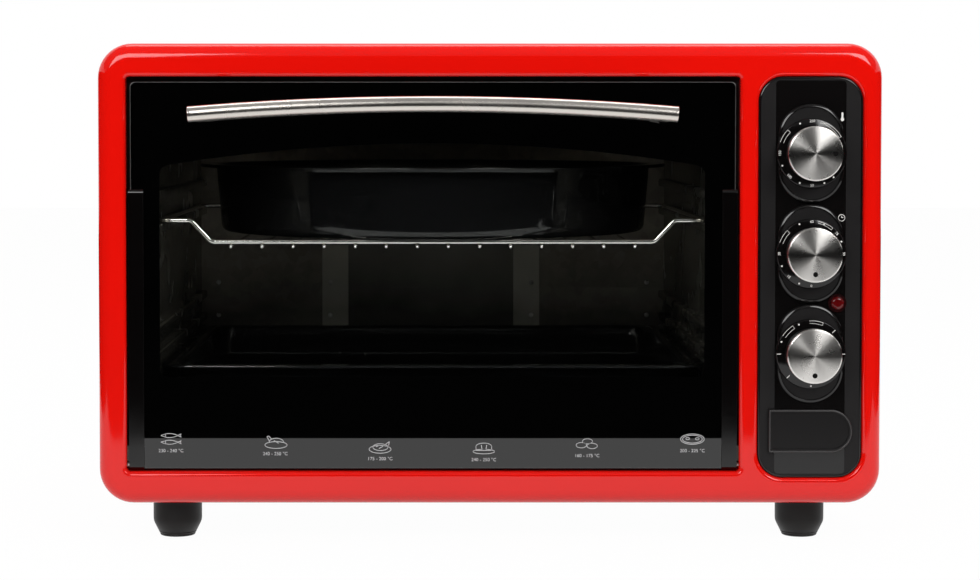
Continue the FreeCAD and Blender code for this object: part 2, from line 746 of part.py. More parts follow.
def outer_wrap():
    """Painted cover: roof and both sides in one sheet, turned in below and behind."""
    body = new_body("outer_wrap")
    wrap_back = back - d.rear_sheet
    skin = front_sketch(body, wrap_front)
    rounded(skin, left + wrap_inset, right - wrap_inset, bottom + wrap_inset, top - wrap_inset,
            d.corner_radius - wrap_inset)
    pad(body, skin, wrap_back - wrap_front, backwards=True)
    hollow = front_sketch(body, wrap_front - d.overrun)
    rounded(hollow, left + inner_inset, right - inner_inset, bottom + inner_inset, top - inner_inset,
            d.corner_radius - inner_inset)
    pocket(body, hollow, wrap_back - wrap_front + d.overrun - d.wrap_sheet)
    deep = wrap_inset + d.rear_flange
    doorway = front_sketch(body, wrap_back - d.wrap_sheet - d.overrun)
    rounded(doorway, left + deep, right - deep, bottom + deep, top - deep, d.corner_radius - deep / 2)
    pocket(body, doorway, d.wrap_sheet + d.overrun * 2)
    under = front_sketch(body, wrap_front - d.overrun)
    rectangle(under, -return_edge, return_edge, bottom, base_top)
    pocket(body, under, wrap_back - wrap_front + d.overrun * 2)
    notch = front_sketch(body, wrap_back - d.wrap_sheet)
    wide = base_half + d.piece_gap
    rectangle(notch, -wide, wide, base_under, bottom + deep + d.overrun)
    pocket(body, notch, d.wrap_sheet + d.overrun)
    holes = front_sketch(body, wrap_back - d.wrap_sheet - d.overrun)
    for x, z in rear_screws:
        circle(holes, x, z, screw_bore)
    pocket(body, holes, d.wrap_sheet + d.overrun * 2)
    ahead = back - d.slot_pitch * SIDE_SLOTS - d.rear_flange
    slots(body, side_sketch(body, right), (ahead, ahead + d.slot_width, low_line, low_line + d.slot_length),
          inner_inset + d.overrun, SIDE_SLOTS, "Y_Axis")
    across = left + d.body_width * TOP_VENT_SHARE
    behind = back - d.rear_flange - d.slot_length
    slots(body, plan_sketch(body, top), (across, across + d.slot_width, behind - d.slot_length, behind),
          inner_inset + d.overrun, TOP_SLOTS, "X_Axis")


def base_pan():
    """Flat steel underside between the turned-in edges of the wrap."""
    body = new_body("base_pan")
    floor = plan_sketch(body, base_under)
    rectangle(floor, -base_half, base_half, wrap_front, back - d.rear_sheet)
    pad(body, floor, d.base_sheet)
    upright = front_sketch(body, back - d.rear_sheet)
    rectangle(upright, -base_half, base_half, base_under, base_top + d.rear_flange)
    pad(body, upright, d.base_sheet)
    bores = plan_sketch(body, base_top + d.overrun)
    for x, y in foot_places:
        circle(bores, x, y, d.foot_bolt + d.pin_play)
    pocket(body, bores, d.base_sheet + d.overrun * 2)
    holes = front_sketch(body, back - d.rear_sheet - d.base_sheet - d.overrun)
    for x, z in base_screws:
        circle(holes, x, z, screw_bore)
    pocket(body, holes, d.base_sheet + d.overrun * 2)
    ahead = front + d.body_depth / 2
    across = shield_x + d.shield_foot + d.overrun
    slots(body, plan_sketch(body, base_top + d.overrun),
          (across, across + d.slot_width, ahead, ahead + d.slot_length),
          d.base_sheet + d.overrun * 2, BASE_SLOTS, "X_Axis")


def rear_panel():
    """Flat steel back with vent slots and the hole for the cord gland."""
    body = new_body("rear_panel")
    sheet_face = front_sketch(body, back - d.rear_sheet)
    rounded(sheet_face, left + wrap_inset, right - wrap_inset, bottom + wrap_inset, top - wrap_inset,
            d.corner_radius - wrap_inset)
    pad(body, sheet_face, d.rear_sheet, backwards=True)
    holes = front_sketch(body, back - d.rear_sheet - d.overrun)
    for x, z in rear_screws + base_screws:
        circle(holes, x, z, screw_bore)
    circle(holes, gland_x, gland_height, d.gland_radius + d.pin_play)
    pocket(body, holes, d.rear_sheet + d.overrun * 2)
    vent_line = d.body_height * REAR_VENT_SHARE
    for low in (bottom + vent_line, top - vent_line - d.slot_length):
        across = -d.slot_pitch * REAR_SLOTS / 2 + door_middle
        slots(body, front_sketch(body, back - d.rear_sheet - d.overrun),
              (across, across + d.slot_width, low, low + d.slot_length),
              d.rear_sheet + d.overrun * 2, REAR_SLOTS, "X_Axis")


def screw(x, y, z, way):
    """A pan-head screw along Y: its head stands on y, and way is the side that the head is on."""
    if way > 0:
        head = rod("Y", x, y, z, d.screw_head, d.screw_head_thick)
        shank = rod("Y", x, y - d.screw_length, z, d.screw_radius, d.screw_length)
        floor = y + d.screw_head_thick - d.screw_slot_deep
    else:
        head = rod("Y", x, y - d.screw_head_thick, z, d.screw_head, d.screw_head_thick)
        shank = rod("Y", x, y, z, d.screw_radius, d.screw_length)
        floor = y - d.screw_head_thick - d.overrun + d.screw_slot_deep
    groove = box(x - d.screw_head * 2, x + d.screw_head * 2, floor, floor + d.overrun,
                 z - d.screw_slot / 2, z + d.screw_slot / 2)
    return cut(fuse(head, shank), groove)


def casing_screws():
    """The same sheet metal screw behind, at the control plate and at each control."""
    screws = [screw(x, back, z, 1) for x, z in rear_screws + base_screws]
    screws += [screw(x, plate_back, z, 1) for x, z in plate_screws]
    screws += [screw(x, plate_front, z, -1) for x, z in control_screws]
    keep(group(*screws), "casing_screws")


# Oven liner

element_legs = (mouth + d.element_inset, cavity_back - d.element_inset)
element_levels = {"upper": cavity_roof - d.element_drop, "lower": cavity_floor + d.element_lift}
bulb_x = cavity_right - d.bulb_wall_gap
thermostat_back = plate_back + d.thermostat_deep
capillary_y = mouth + d.bulb_place - d.capillary_bend * 2


def side_wall(label, inner, side):
    """Liner wall with its front flange and five pressed shelf rails; side is -1 or 1."""
    body = new_body(label)
    web = front_sketch(body, mouth)
    rectangle(web, inner, inner + side * d.liner_sheet, cavity_floor, cavity_roof)
    pad(body, web, cavity_depth, backwards=True)
    flange = front_sketch(body, mouth)
    edge = (mouth_left if side < 0 else mouth_right) + side * d.flange_lap
    rectangle(flange, inner, edge, cavity_floor, cavity_roof)
    pad(body, flange, d.liner_sheet, backwards=True)
    rails = front_sketch(body, mouth + d.rail_start)
    for level in rail_levels:
        rectangle(rails, inner + side * d.liner_sheet / 2, inner - side * d.rail_depth,
                  level - d.rail_thick / 2, level + d.rail_thick / 2)
    pad(body, rails, cavity_depth - d.rail_start * 2, backwards=True)
    tip = inner - side * d.rail_depth
    fillet(body, d.rail_edge, lambda e: near(e.BoundBox.XMin, tip) and near(e.BoundBox.XMax, tip)
           and e.Length > d.rail_thick.value + SNAP)
    hollows = front_sketch(body, mouth + d.rail_start + d.liner_sheet)
    inset = d.rail_thick / 2 - d.liner_sheet
    beyond = inner + side * (d.liner_sheet + d.overrun)
    hollow_tip = inner - side * (d.rail_depth - d.liner_sheet - d.rail_edge / 2)
    for level in rail_levels:
        rectangle(hollows, beyond, hollow_tip, level - inset, level + inset)
    pocket(body, hollows, cavity_depth - (d.rail_start + d.liner_sheet) * 2)
    if side > 0:
        holes = side_sketch(body, inner - d.overrun)
        for level in element_levels.values():
            for y in element_legs:
                circle(holes, y, level, d.bush_radius + d.pin_play)
        circle(holes, capillary_y, bulb_height, d.capillary_radius + d.piece_gap)
        pocket(body, holes, d.liner_sheet + d.overrun * 2, backwards=True)


def level_wall(label, inner, side):
    """Liner roof or floor with its front flange; side is 1 for the roof and -1 for the floor."""
    outer_left = cavity_left - d.liner_sheet
    outer_right = cavity_right + d.liner_sheet
    flange_edge = (mouth_top if side > 0 else mouth_bottom) + side * d.flange_lap
    body = new_body(label)
    web = front_sketch(body, mouth)
    rectangle(web, outer_left, outer_right, inner, inner + side * d.liner_sheet)
    pad(body, web, cavity_depth, backwards=True)
    flange = front_sketch(body, mouth)
    rectangle(flange, mouth_left - d.flange_lap, mouth_right + d.flange_lap, inner, flange_edge)
    pad(body, flange, d.liner_sheet, backwards=True)


def cavity_back_wall():
    keep(box(cavity_left - d.liner_sheet, cavity_right + d.liner_sheet, cavity_back,
             cavity_back + d.liner_sheet, cavity_floor - d.liner_sheet, cavity_roof + d.liner_sheet),
         "cavity_back")


def cavity_supports():
    """Two hat-shaped strips between the base pan and the oven floor."""
    strips = []
    for y in (mouth + d.hat_inset, cavity_back - d.hat_inset - d.hat_width):
        body = doc.addObject("PartDesign::Body", "Strip")
        low = base_top
        high = cavity_floor - d.liner_sheet
        near_edge = y
        far_edge = y + d.hat_width
        t = d.liner_sheet
        section = side_sketch(body, cavity_left + d.hat_margin)
        polygon(section, [
            (near_edge, low), (near_edge + d.hat_flange + t, low), (near_edge + d.hat_flange + t, high - t),
            (far_edge - d.hat_flange - t, high - t), (far_edge - d.hat_flange - t, low), (far_edge, low),
            (far_edge, low + t), (far_edge - d.hat_flange, low + t), (far_edge - d.hat_flange, high),
            (near_edge + d.hat_flange, high), (near_edge + d.hat_flange, low + t), (near_edge, low + t)])
        pad(body, section, cavity_width - d.hat_margin * 2)
        strips.append(body)
    keep(group(*strips), "cavity_supports")


def bay_shield():
    """Bright sheet between the oven liner and the controls, with a foot on the base pan."""
    body = new_body("bay_shield")
    start = mouth + d.liner_sheet + d.piece_gap
    section = front_sketch(body, start)
    x = shield_x
    t = d.shield_sheet
    polygon(section, [(x, base_top), (x + d.shield_foot, base_top), (x + d.shield_foot, base_top + t),
                      (x + t, base_top + t), (x + t, top - inner_inset), (x, top - inner_inset)])
    pad(body, section, back - d.rear_sheet - d.wrap_sheet - d.piece_gap - start, backwards=True)
    holes = side_sketch(body, x - d.overrun)
    for level in element_levels.values():
        for y in element_legs:
            circle(holes, y, level, d.bush_radius + d.pin_play)
    circle(holes, capillary_y, bulb_height, d.capillary_radius + d.piece_gap)
    pocket(body, holes, t + d.overrun * 2, backwards=True)


# Heating elements

element_left = cavity_left + d.element_side_gap
element_right = cavity_right + d.element_tail


def heating_element(name, level):
    """A steel-sheathed tube bent into a U, with both ends through the right side wall."""
    y0, y1 = element_legs
    points = [(element_right, y0, level), (element_left, y0, level),
              (element_left, y1, level), (element_right, y1, level)]
    keep(tube(points, d.element_bend, d.element_radius), f"{name}_element")


def element_bushes():
    """Four ceramic bushes that carry the ends of the elements through liner and shield."""
    bushes = []
    start = cavity_right - d.bush_nose
    for level in element_levels.values():
        for y in element_legs:
            neck = rod("X", start, y, level, d.bush_radius, d.bush_length)
            collar = rod("X", cavity_right + d.liner_sheet, y, level, d.bush_collar, d.bush_collar_thick)
            bore = rod("X", start - d.overrun, y, level, d.element_radius + d.pin_play,
                       d.bush_length + d.overrun * 2)
            bushes.append(cut(fuse(neck, collar), bore))
    keep(group(*bushes), "element_bushes")


def element_clips():
    """Four clips on the roof and the floor that carry the far ends of the elements."""
    clips = []
    y0, y1 = element_legs
    half = d.clip_width / 2
    ledge = d.element_radius + d.clip_thick * 2
    for name, level in element_levels.items():
        for y in (y0 + d.element_bend * 2, y1 - d.element_bend * 2):
            low, high = (level - ledge, cavity_roof) if name == "upper" else (cavity_floor, level + ledge)
            strap = box(element_left - half, element_left + half, y - d.clip_thick / 2,
                        y + d.clip_thick / 2, low, high)
            bore = rod("Y", element_left, y - d.overrun, level, d.element_radius + d.pin_play,
                       d.overrun * 2)
            clips.append(cut(strap, bore))
    keep(group(*clips), "element_clips")


# Control panel

plate_inset = d.screw_head + d.panel_wall + d.pin_play
boss_radius = d.screw_head + d.piece_gap
plate_reach = d.panel_opening / 2 - plate_inset - d.panel_gap * 2
corner_inset = d.panel_radius + d.screw_head
plate_screws = [(dial_middle + side * plate_reach, z) for side in (-1, 1)
                for z in (panel_bottom + corner_inset, panel_top - corner_inset)]
control_half = {"thermostat": d.thermostat_width / 2, "timer": d.timer_width / 2,
                "selector": d.selector_width / 2}
SCREW_INSET_SHARE = 1.5
control_reach = {name: half - d.screw_head * SCREW_INSET_SHARE for name, half in control_half.items()}
control_screws = [(dial_middle + side * control_reach[name], z)
                  for name, z in dials.items() for side in (-1, 1)]
strip_half = mound_width / 2 + d.strip_side
strip_low = panel_bottom + d.strip_margin
strip_high = panel_top - d.strip_margin
lamp_x = dial_middle + d.lamp_place
lamp_bore = d.lamp_radius + d.channel_sheet


def mound(sketch, z, grow):
    """The outline of one oval mound, grown by a gap."""
    half = mound_width / 2 + grow
    tall = mound_height / 2 + grow
    rounded(sketch, dial_middle - half, dial_middle + half, z - tall, z + tall, half - d.piece_gap)


def control_panel():
    """Moulded panel: a shallow tub with a rim behind the frame and three oval mounds."""
    body = new_body("control_panel")
    face = front_sketch(body, panel_face)
    gap = d.panel_gap
    rounded(face, panel_left + gap, panel_right - gap, panel_bottom + gap, panel_top - gap,
            d.panel_radius - gap)
    pad(body, face, plate_front - panel_face, backwards=True)
    rim = front_sketch(body, mouth)
    grow = d.panel_flange
    rounded(rim, panel_left - grow + d.piece_gap * 2, panel_right + grow, panel_bottom - grow,
            panel_top + grow, d.panel_radius)
    pad(body, rim, d.panel_wall, backwards=True)
    tub = front_sketch(body, plate_front)
    wall = d.panel_gap + d.panel_wall
    rounded(tub, panel_left + wall, panel_right - wall, panel_bottom + wall, panel_top - wall,
            d.panel_radius - wall)
    pocket(body, tub, plate_front - panel_face - d.panel_wall, backwards=True)
    bosses = front_sketch(body, plate_front)
    for x, z in plate_screws:
        circle(bosses, x, z, boss_radius)
    pad(body, bosses, plate_front - panel_face - d.panel_wall)
    recess = front_sketch(body, panel_face)
    rounded(recess, dial_middle - strip_half, dial_middle + strip_half, strip_low, strip_high, d.strip_margin)
    pocket(body, recess, d.strip_thick)
    mounds = front_sketch(body, panel_face + d.strip_thick)
    for z in dials.values():
        mound(mounds, z, ZERO)
    pad(body, mounds, d.strip_thick + d.mound_rise)
    fillet(body, d.mound_round, lambda e: flat_at(e, "Y", mound_face))
    holes = front_sketch(body, mound_face - d.overrun)
    for z in dials.values():
        circle(holes, dial_middle, z, d.neck_radius + d.piece_gap)
    circle(holes, lamp_x, lamp_height, lamp_bore + d.piece_gap)
    pocket(body, holes, plate_front - mound_face)
    bores = front_sketch(body, plate_front)
    for x, z in plate_screws:
        circle(bores, x, z, screw_bore)
    pocket(body, bores, d.screw_length, backwards=True)


def panel_strip():
    """Glossy inlay with openings for the mounds and the lamp."""
    body = new_body("panel_strip")
    outline = front_sketch(body, panel_face)
    slip = d.pin_play
    rounded(outline, dial_middle - strip_half + slip, dial_middle + strip_half - slip, strip_low + slip,
            strip_high - slip, d.strip_margin)
    pad(body, outline, d.strip_thick, backwards=True)
    holes = front_sketch(body, panel_face - d.overrun)
    for z in dials.values():
        mound(holes, z, slip)
    circle(holes, lamp_x, lamp_height, lamp_bore + d.piece_gap)
    pocket(body, holes, d.strip_thick + d.overrun * 2)


def turned(label, points, x, y, z, kept=True):
    """A turned piece whose axis points to the front; points are radius and distance forward."""
    body = new_body(label) if kept else doc.addObject("PartDesign::Body", "Turned")
    section = new_sketch(body, "XZ_Plane")
    polygon(section, points)
    revolve(body, section)
    place(body, x, y, z, X_AXIS, QUARTER_TURN)
    return body


def dial(name, z):
    """Dial ring with a bevelled edge, lying on its mound."""
    hole = d.neck_radius + d.piece_gap
    turned(f"{name}_dial", [
        (hole, ZERO), (d.dial_radius, ZERO), (d.dial_radius, d.dial_thick - d.dial_bevel),
        (d.dial_radius - d.dial_bevel, d.dial_thick), (hole, d.dial_thick)], dial_middle, mound_face, z)


POINTERS = {"thermostat": (1, 0), "timer": (0, -1), "selector": (0, -1)}


def knob(name, z):
    """Hollow moulded knob with a hub, its spun metal cap and its shaft; its dot shows where it points."""
    cap_under = d.knob_height - d.knob_gap - d.cap_sheet
    bore = d.shaft_radius
    inner = d.knob_radius - d.knob_wall
    turned(f"{name}_knob", [
        (bore, ZERO), (d.hub_radius, ZERO), (d.hub_radius, cap_under - d.knob_wall),
        (inner, cap_under - d.knob_wall), (inner, ZERO), (d.knob_radius, ZERO),
        (d.knob_radius, cap_under), (ZERO, cap_under), (ZERO, d.shaft_bite), (bore, d.shaft_bite)],
        dial_middle, knob_base, z)
    skirt_low = cap_under + d.cap_sheet - d.cap_skirt
    cap = turned(f"{name}_cap", [
        (d.knob_radius, skirt_low), (d.cap_radius, skirt_low), (d.cap_radius, cap_under + d.cap_sheet),
        (ZERO, cap_under + d.cap_sheet), (ZERO, cap_under), (d.knob_radius, cap_under)],
        dial_middle, knob_base, z)
    rim_level = cap_under + d.cap_sheet
    fillet(cap, d.cap_round, lambda e: flat_at(e, "Z", rim_level))
    mark = plan_sketch(cap, rim_level + d.overrun)
    across, up = POINTERS[name]
    circle(mark, across * d.dot_place, up * d.dot_place, d.dot_radius)
    pocket(cap, mark, d.cap_sheet + d.overrun)
    start = knob_base - d.shaft_bite
    end = plate_front - d.neck_length + d.shaft_bite
    keep(rod("Y", dial_middle, start, z, d.shaft_radius, end - start), f"{name}_shaft")


def neck_and_bore(z):
    """The neck of a control and the bore for its shaft."""
    neck = rod("Y", dial_middle, plate_front - d.neck_length, z, d.neck_radius,
               d.neck_length + d.plate_sheet + d.overrun)
    bore = rod("Y", dial_middle, plate_front - d.neck_length - d.overrun, z, d.shaft_radius + d.pin_play,
               d.shaft_bite + d.overrun + d.piece_gap)
    return neck, bore


def screw_pits(name, z):
    """Holes in a control for the two screws through the plate."""
    return [rod("Y", dial_middle + side * control_reach[name], plate_back - d.overrun, z, screw_bore,
                d.screw_length + d.overrun) for side in (-1, 1)]


def control_body(name, z, wide, high, deep):
    """The body of a control behind the plate, with its neck through the plate."""
    neck, bore = neck_and_bore(z)
    case = box(dial_middle - wide / 2, dial_middle + wide / 2, plate_back, plate_back + deep,
               z - high / 2, z + high / 2)
    keep(cut(fuse(case, neck), bore, *screw_pits(name, z)), f"{name}_body")


def timer_bell():
    """Pressed steel bell screwed to the back of the timer."""
    start = plate_back + d.timer_deep
    z = dials["timer"]
    outer = rod("Y", dial_middle, start, z, d.bell_radius, d.bell_deep)
    inner = rod("Y", dial_middle, start - d.overrun, z, d.bell_radius - d.bell_sheet,
                d.bell_deep - d.bell_sheet + d.overrun)
    stem = rod("Y", dial_middle, start, z, d.screw_radius, d.bell_deep)
    keep(fuse(cut(outer, inner), stem), "timer_bell")


def control_plate():
    """Steel plate behind the panel that carries the three controls."""
    lap = d.panel_flange - d.piece_gap * 2
    sheet_box = box(panel_left - lap, panel_right + lap, plate_front, plate_back, panel_bottom, panel_top)
    holes = []
    for z in dials.values():
        holes.append(rod("Y", dial_middle, plate_front - d.overrun, z, d.neck_radius + d.pin_play,
                         d.plate_sheet + d.overrun * 2))
    for x, z in plate_screws + control_screws:
        holes.append(rod("Y", x, plate_front - d.overrun, z, screw_bore, d.plate_sheet + d.overrun * 2))
    holes.append(rod("Y", lamp_x, plate_front - d.overrun, lamp_height, lamp_bore + d.pin_play,
                     d.plate_sheet + d.overrun * 2))
    keep(cut(sheet_box, *holes), "control_plate")


def thermostat_bulb():
    """Capillary tube from the back of the thermostat to its bulb beside the oven wall."""
    x = dial_middle - d.thermostat_width / 4
    line = tube([(x, thermostat_back, dial_top), (x, capillary_y, dial_top),
                 (x, capillary_y, bulb_height), (bulb_x, capillary_y, bulb_height),
                 (bulb_x, mouth + d.bulb_place, bulb_height)], d.capillary_bend, d.capillary_radius)
    bulb = rod("Y", bulb_x, mouth + d.bulb_place, bulb_height, d.bulb_radius, d.bulb_length)
    keep(group(line, bulb), "thermostat_bulb")


def pilot_lamp():
    """Domed lens in a holder with a rim."""
    seat = d.lamp_seat_thick
    depth = d.lamp_radius
    turned("lamp_holder", [
        (ZERO, -d.lamp_body), (lamp_bore, -d.lamp_body), (lamp_bore, ZERO), (d.lamp_seat, ZERO),
        (d.lamp_seat, seat), (d.lamp_radius + d.pin_play, seat), (d.lamp_radius + d.pin_play, -depth),
        (ZERO, -depth)], lamp_x, panel_face, lamp_height)
    crown = seat + d.lamp_dome
    lens = turned("lamp_lens", [(ZERO, -depth), (d.lamp_radius, -depth), (d.lamp_radius, crown),
                                (ZERO, crown)], lamp_x, panel_face, lamp_height)
    fillet(lens, d.lamp_dome - d.piece_gap, lambda e: flat_at(e, "Z", crown))


def badge_plate():
    """Blank plate, square on the left and round on the right, with a raised rim."""
    body = new_body("badge_plate")
    half = d.panel_opening / 2 - d.badge_margin
    middle = dial_middle + d.badge_shift
    for inset, kind in ((ZERO, pad), (d.badge_rim, pocket)):
        low = badge_low + inset
        high = badge_low + badge_height - inset
        west = middle - half + inset
        east = middle + half - inset
        if kind is pad:
            level = panel_face
            length = d.badge_thick
        else:
            level = panel_face - d.badge_thick
            length = d.badge_sink
        bow = front_sketch(body, level)
        rounded(bow, west, east, low, high, badge_height / 2 - inset - d.piece_gap)
        kind(body, bow, length)
        block = front_sketch(body, level)
        rectangle(block, west, middle, low, high)
        kind(body, block, length)


# Inside the base

def terminal_block():
    """Block on the base pan where the supply is joined, beside the cord gland."""
    y = back - d.block_back
    x = gland_x - d.block_width / 2
    keep(box(x, x + d.block_width, y, y + d.block_deep, base_top, base_top + d.block_high), "terminal_block")


def cord_gland():
    """Moulded gland in the rear panel; its bore is where a supply cord would pass."""
    y = back - d.gland_inside
    neck = rod("Y", gland_x, y, gland_height, d.gland_radius, d.gland_inside + d.gland_reach)
    rim = rod("Y", gland_x, back, gland_height, d.gland_rim, d.gland_rim_thick)
    nut = rod("Y", gland_x, back - d.rear_sheet - d.gland_rim_thick, gland_height, d.gland_rim,
              d.gland_rim_thick)
    bore = rod("Y", gland_x, y - d.overrun, gland_height, d.gland_bore,
               d.gland_inside + d.gland_reach + d.overrun * 2)
    keep(cut(fuse(neck, rim, nut), bore), "cord_gland")


FOOT_CURVE_SHARES = ((0.62, 0.12), (0.3, 0.42), (0.08, 0.78))


def foot(label, x, y):
    """Moulded foot: straight above, drawn in towards the table, with a recess for its screw."""
    body = new_body(label)
    section = new_sketch(body, "XZ_Plane")
    knee = bottom - d.foot_straight
    slim = d.foot_radius - d.foot_toe
    curve = [(d.foot_radius - slim * across_share, knee * height_share)
             for height_share, across_share in FOOT_CURVE_SHARES]
    hole = d.foot_bolt + d.pin_play
    points = [(hole, base_under), (d.foot_radius, base_under), (d.foot_radius, knee)] + curve
    points += [(d.foot_toe, ZERO), (d.foot_bore, ZERO), (d.foot_bore, base_under - d.foot_ledge),
               (hole, base_under - d.foot_ledge)]
    polygon(section, points)
    revolve(body, section)
    place(body, x, y, ZERO)


def foot_screws():
    """Four screws, each in the recess of a foot and up through the base pan."""
    screws = []
    ledge = base_under - d.foot_ledge
    for x, y in foot_places:
        head = rod("Z", x, y, ledge - d.foot_bolt_thick, d.foot_bolt_head, d.foot_bolt_thick)
        shank = rod("Z", x, y, ledge, d.foot_bolt, d.foot_ledge + d.base_sheet + d.foot_bolt_rise)
        screws.append(fuse(head, shank))
    keep(group(*screws), "foot_screws")


# Door

def door_glass():
    """Toughened pane, notched at the lower corners for the hinge blocks."""
    body = new_body("door_glass")
    pane = front_sketch(body, glass_front)
    rounded(pane, glass_left, glass_right, glass_bottom, glass_top, d.glass_radius)
    pad(body, pane, d.glass_thick, backwards=True)
    notch = d.channel_width - d.glass_side_gap / 2
    cuts = front_sketch(body, glass_front - d.overrun)
    high = pivot_z + d.block_height + d.piece_gap
    rectangle(cuts, glass_left - d.overrun, glass_left + notch, glass_bottom - d.overrun, high)
    rectangle(cuts, glass_right - notch, glass_right + d.overrun, glass_bottom - d.overrun, high)
    pocket(body, cuts, d.glass_thick + d.overrun * 2)
    holes = front_sketch(body, glass_front - d.overrun)
    for x in post_places:
        circle(holes, x, post_z, d.bolt_radius + d.washer_thick)
    pocket(body, holes, d.glass_thick + d.overrun * 2)


channel_out = d.glass_side_gap / 2
channel_top = glass_top - d.channel_drop


def door_channel(label, outer, side):
    """Folded steel channel over one edge of the glass; side is -1 or 1."""
    body = new_body(label)
    inner = outer - side * d.channel_width
    half = d.channel_depth / 2
    start = outer if side < 0 else inner
    profile = side_sketch(body, start)
    rounded(profile, pivot_y - half, pivot_y + half, pivot_z - half, channel_top, half - d.pin_play)
    pad(body, profile, d.channel_width)
    groove = side_sketch(body, inner)
    slit = d.glass_thick / 2 + d.pin_play
    rectangle(groove, pivot_y - slit, pivot_y + slit, pivot_z - half + d.channel_floor,
              channel_top + d.overrun)
    pocket(body, groove, d.channel_width - d.channel_sheet, backwards=side > 0)
    eye = side_sketch(body, outer + side * d.overrun)
    circle(eye, pivot_y, pivot_z, d.pin_radius + d.pin_play)
    pocket(body, eye, d.channel_sheet + d.overrun * 2, backwards=side < 0)


def hinge_blocks():
    """Steel blocks in the lower ends of the channels, bored for the hinge pins."""
    blocks = []
    half = d.glass_thick / 2
    for outer, side in ((mouth_left + channel_out, -1), (mouth_right - channel_out, 1)):
        a = outer - side * d.channel_sheet
        b = outer - side * (d.channel_width - d.piece_gap)
        low, high = (a, b) if side < 0 else (b, a)
        body = box(low, high, pivot_y - half, pivot_y + half,
                   pivot_z - d.channel_depth / 2 + d.channel_floor, pivot_z + d.block_height)
        bore = rod("X", low - d.overrun, pivot_y, pivot_z, d.pin_radius + d.pin_play,
                   d.channel_width + d.overrun * 2)
        blocks.append(cut(body, bore))
    keep(group(*blocks), "hinge_blocks")


def hinge_pins():
    """Headed pins through the bracket and the frame's lip into the door."""
    pins = []
    reach = d.frame_sheet + d.bracket_thick
    length = reach + channel_out + d.channel_width - d.channel_sheet
    for edge, side in ((mouth_left, -1), (mouth_right, 1)):
        seat = edge + side * reach
        if side < 0:
            shank = rod("X", seat, pivot_y, pivot_z, d.pin_radius, length)
            head = rod("X", seat - d.pin_head_thick, pivot_y, pivot_z, d.pin_head, d.pin_head_thick)
        else:
            shank = rod("X", seat - length, pivot_y, pivot_z, d.pin_radius, length)
            head = rod("X", seat, pivot_y, pivot_z, d.pin_head, d.pin_head_thick)
        pins.append(fuse(shank, head))
    keep(group(*pins), "hinge_pins")


def hinge_brackets():
    """Angle brackets behind the frame's lip that carry the hinge pins."""
    brackets = []
    for edge, side in ((mouth_left, -1), (mouth_right, 1)):
        a = edge + side * d.frame_sheet
        b = a + side * d.bracket_thick
        c = edge + side * d.flange_lap
        low = pivot_z - d.channel_depth / 2
        high = low + d.bracket_height
        y0 = front + d.frame_sheet + d.overrun
        web = box(*ordered(a, b, side), y0, mouth, low, high)
        above_head = pivot_z + d.pin_head + d.piece_gap
        foot_plate = box(*ordered(a, c, side), mouth - d.bracket_thick, mouth, above_head, high)
        bore = rod("X", ordered(a, b, side)[0] - d.overrun, pivot_y, pivot_z, d.pin_radius + d.pin_play,
                   d.bracket_thick + d.overrun * 2)
        brackets.append(cut(fuse(web, foot_plate), bore))
    keep(group(*brackets), "hinge_brackets")


def ordered(a, b, side):
    """Two places that grow away from the door, put in order along +X."""
    return (b, a) if side < 0 else (a, b)


# Door handle

handle_y = glass_front - d.handle_stand
handle_half = (glass_right - glass_left) / 2 - d.handle_margin
handle_height = glass_top - d.handle_drop
post_half = handle_half - d.handle_overhang
arch_radius = (handle_half * handle_half + d.handle_rise * d.handle_rise) / (d.handle_rise * 2)
arch_angle = (handle_half / arch_radius).arcsine() * 2
arch_centre = handle_height - arch_radius
post_places = [door_middle + side * post_half for side in (-1, 1)]
post_z = arch_centre + (arch_radius * arch_radius - post_half * post_half).root()


def arch(radii, label=None):
    """A round bar bent to the handle's arch; a second radius makes it a tube."""
    body = new_body(label) if label else doc.addObject("PartDesign::Body", "Arch")
    ring = new_sketch(body, "YZ_Plane")
    for radius in radii:
        circle(ring, ZERO, arch_radius, radius)
    bar = revolve(body, ring, "H_Axis", angle=arch_angle)
    bar.Midplane = True
    place(body, door_middle, handle_y, arch_centre)
    doc.recompute()
    return body


def door_handle():
    """Arched tube with a plug in each end, on two posts."""
    inside = d.handle_radius - d.handle_wall
    arch([d.handle_radius, inside], "handle_bar")
    core = arch([inside - d.pin_play])
    end = handle_half - d.plug_sink
    plugs = []
    for side in (-1, 1):
        outer = door_middle + side * end
        inner = outer - side * d.plug_length
        low, high = (outer, inner) if side < 0 else (inner, outer)
        window = box(low, high, handle_y - d.handle_radius, handle_y + d.handle_radius,
                     handle_height - d.handle_rise - d.handle_radius * 2, handle_height + d.handle_rise)
        plug = doc.addObject("Part::Common", "Plug")
        plug.Base = core
        plug.Tool = window
        plugs.append(plug)
    keep(group(*plugs), "handle_plugs")


def handle_posts():
    """Two posts, shaped to the tube in front and tapped for a screw behind."""
    posts = []
    full = arch([d.handle_radius])
    for x in post_places:
        post = rod("Y", x, handle_y, post_z, d.post_radius, glass_front - handle_y)
        pit = rod("Y", x, glass_front - d.bolt_grip, post_z, d.bolt_radius, d.bolt_grip + d.overrun)
        posts.append(cut(post, full, pit))
    keep(group(*posts), "handle_posts")


def handle_screws():
    """Screws through washer and glass into the posts."""
    screws = []
    seat = glass_back + d.washer_thick
    for x in post_places:
        shank = rod("Y", x, glass_front - d.bolt_grip, post_z, d.bolt_radius,
                    seat - glass_front + d.bolt_grip)
        head = rod("Y", x, seat, post_z, d.bolt_head, d.bolt_head_thick)
        screws.append(fuse(shank, head))
    keep(group(*screws), "handle_screws")


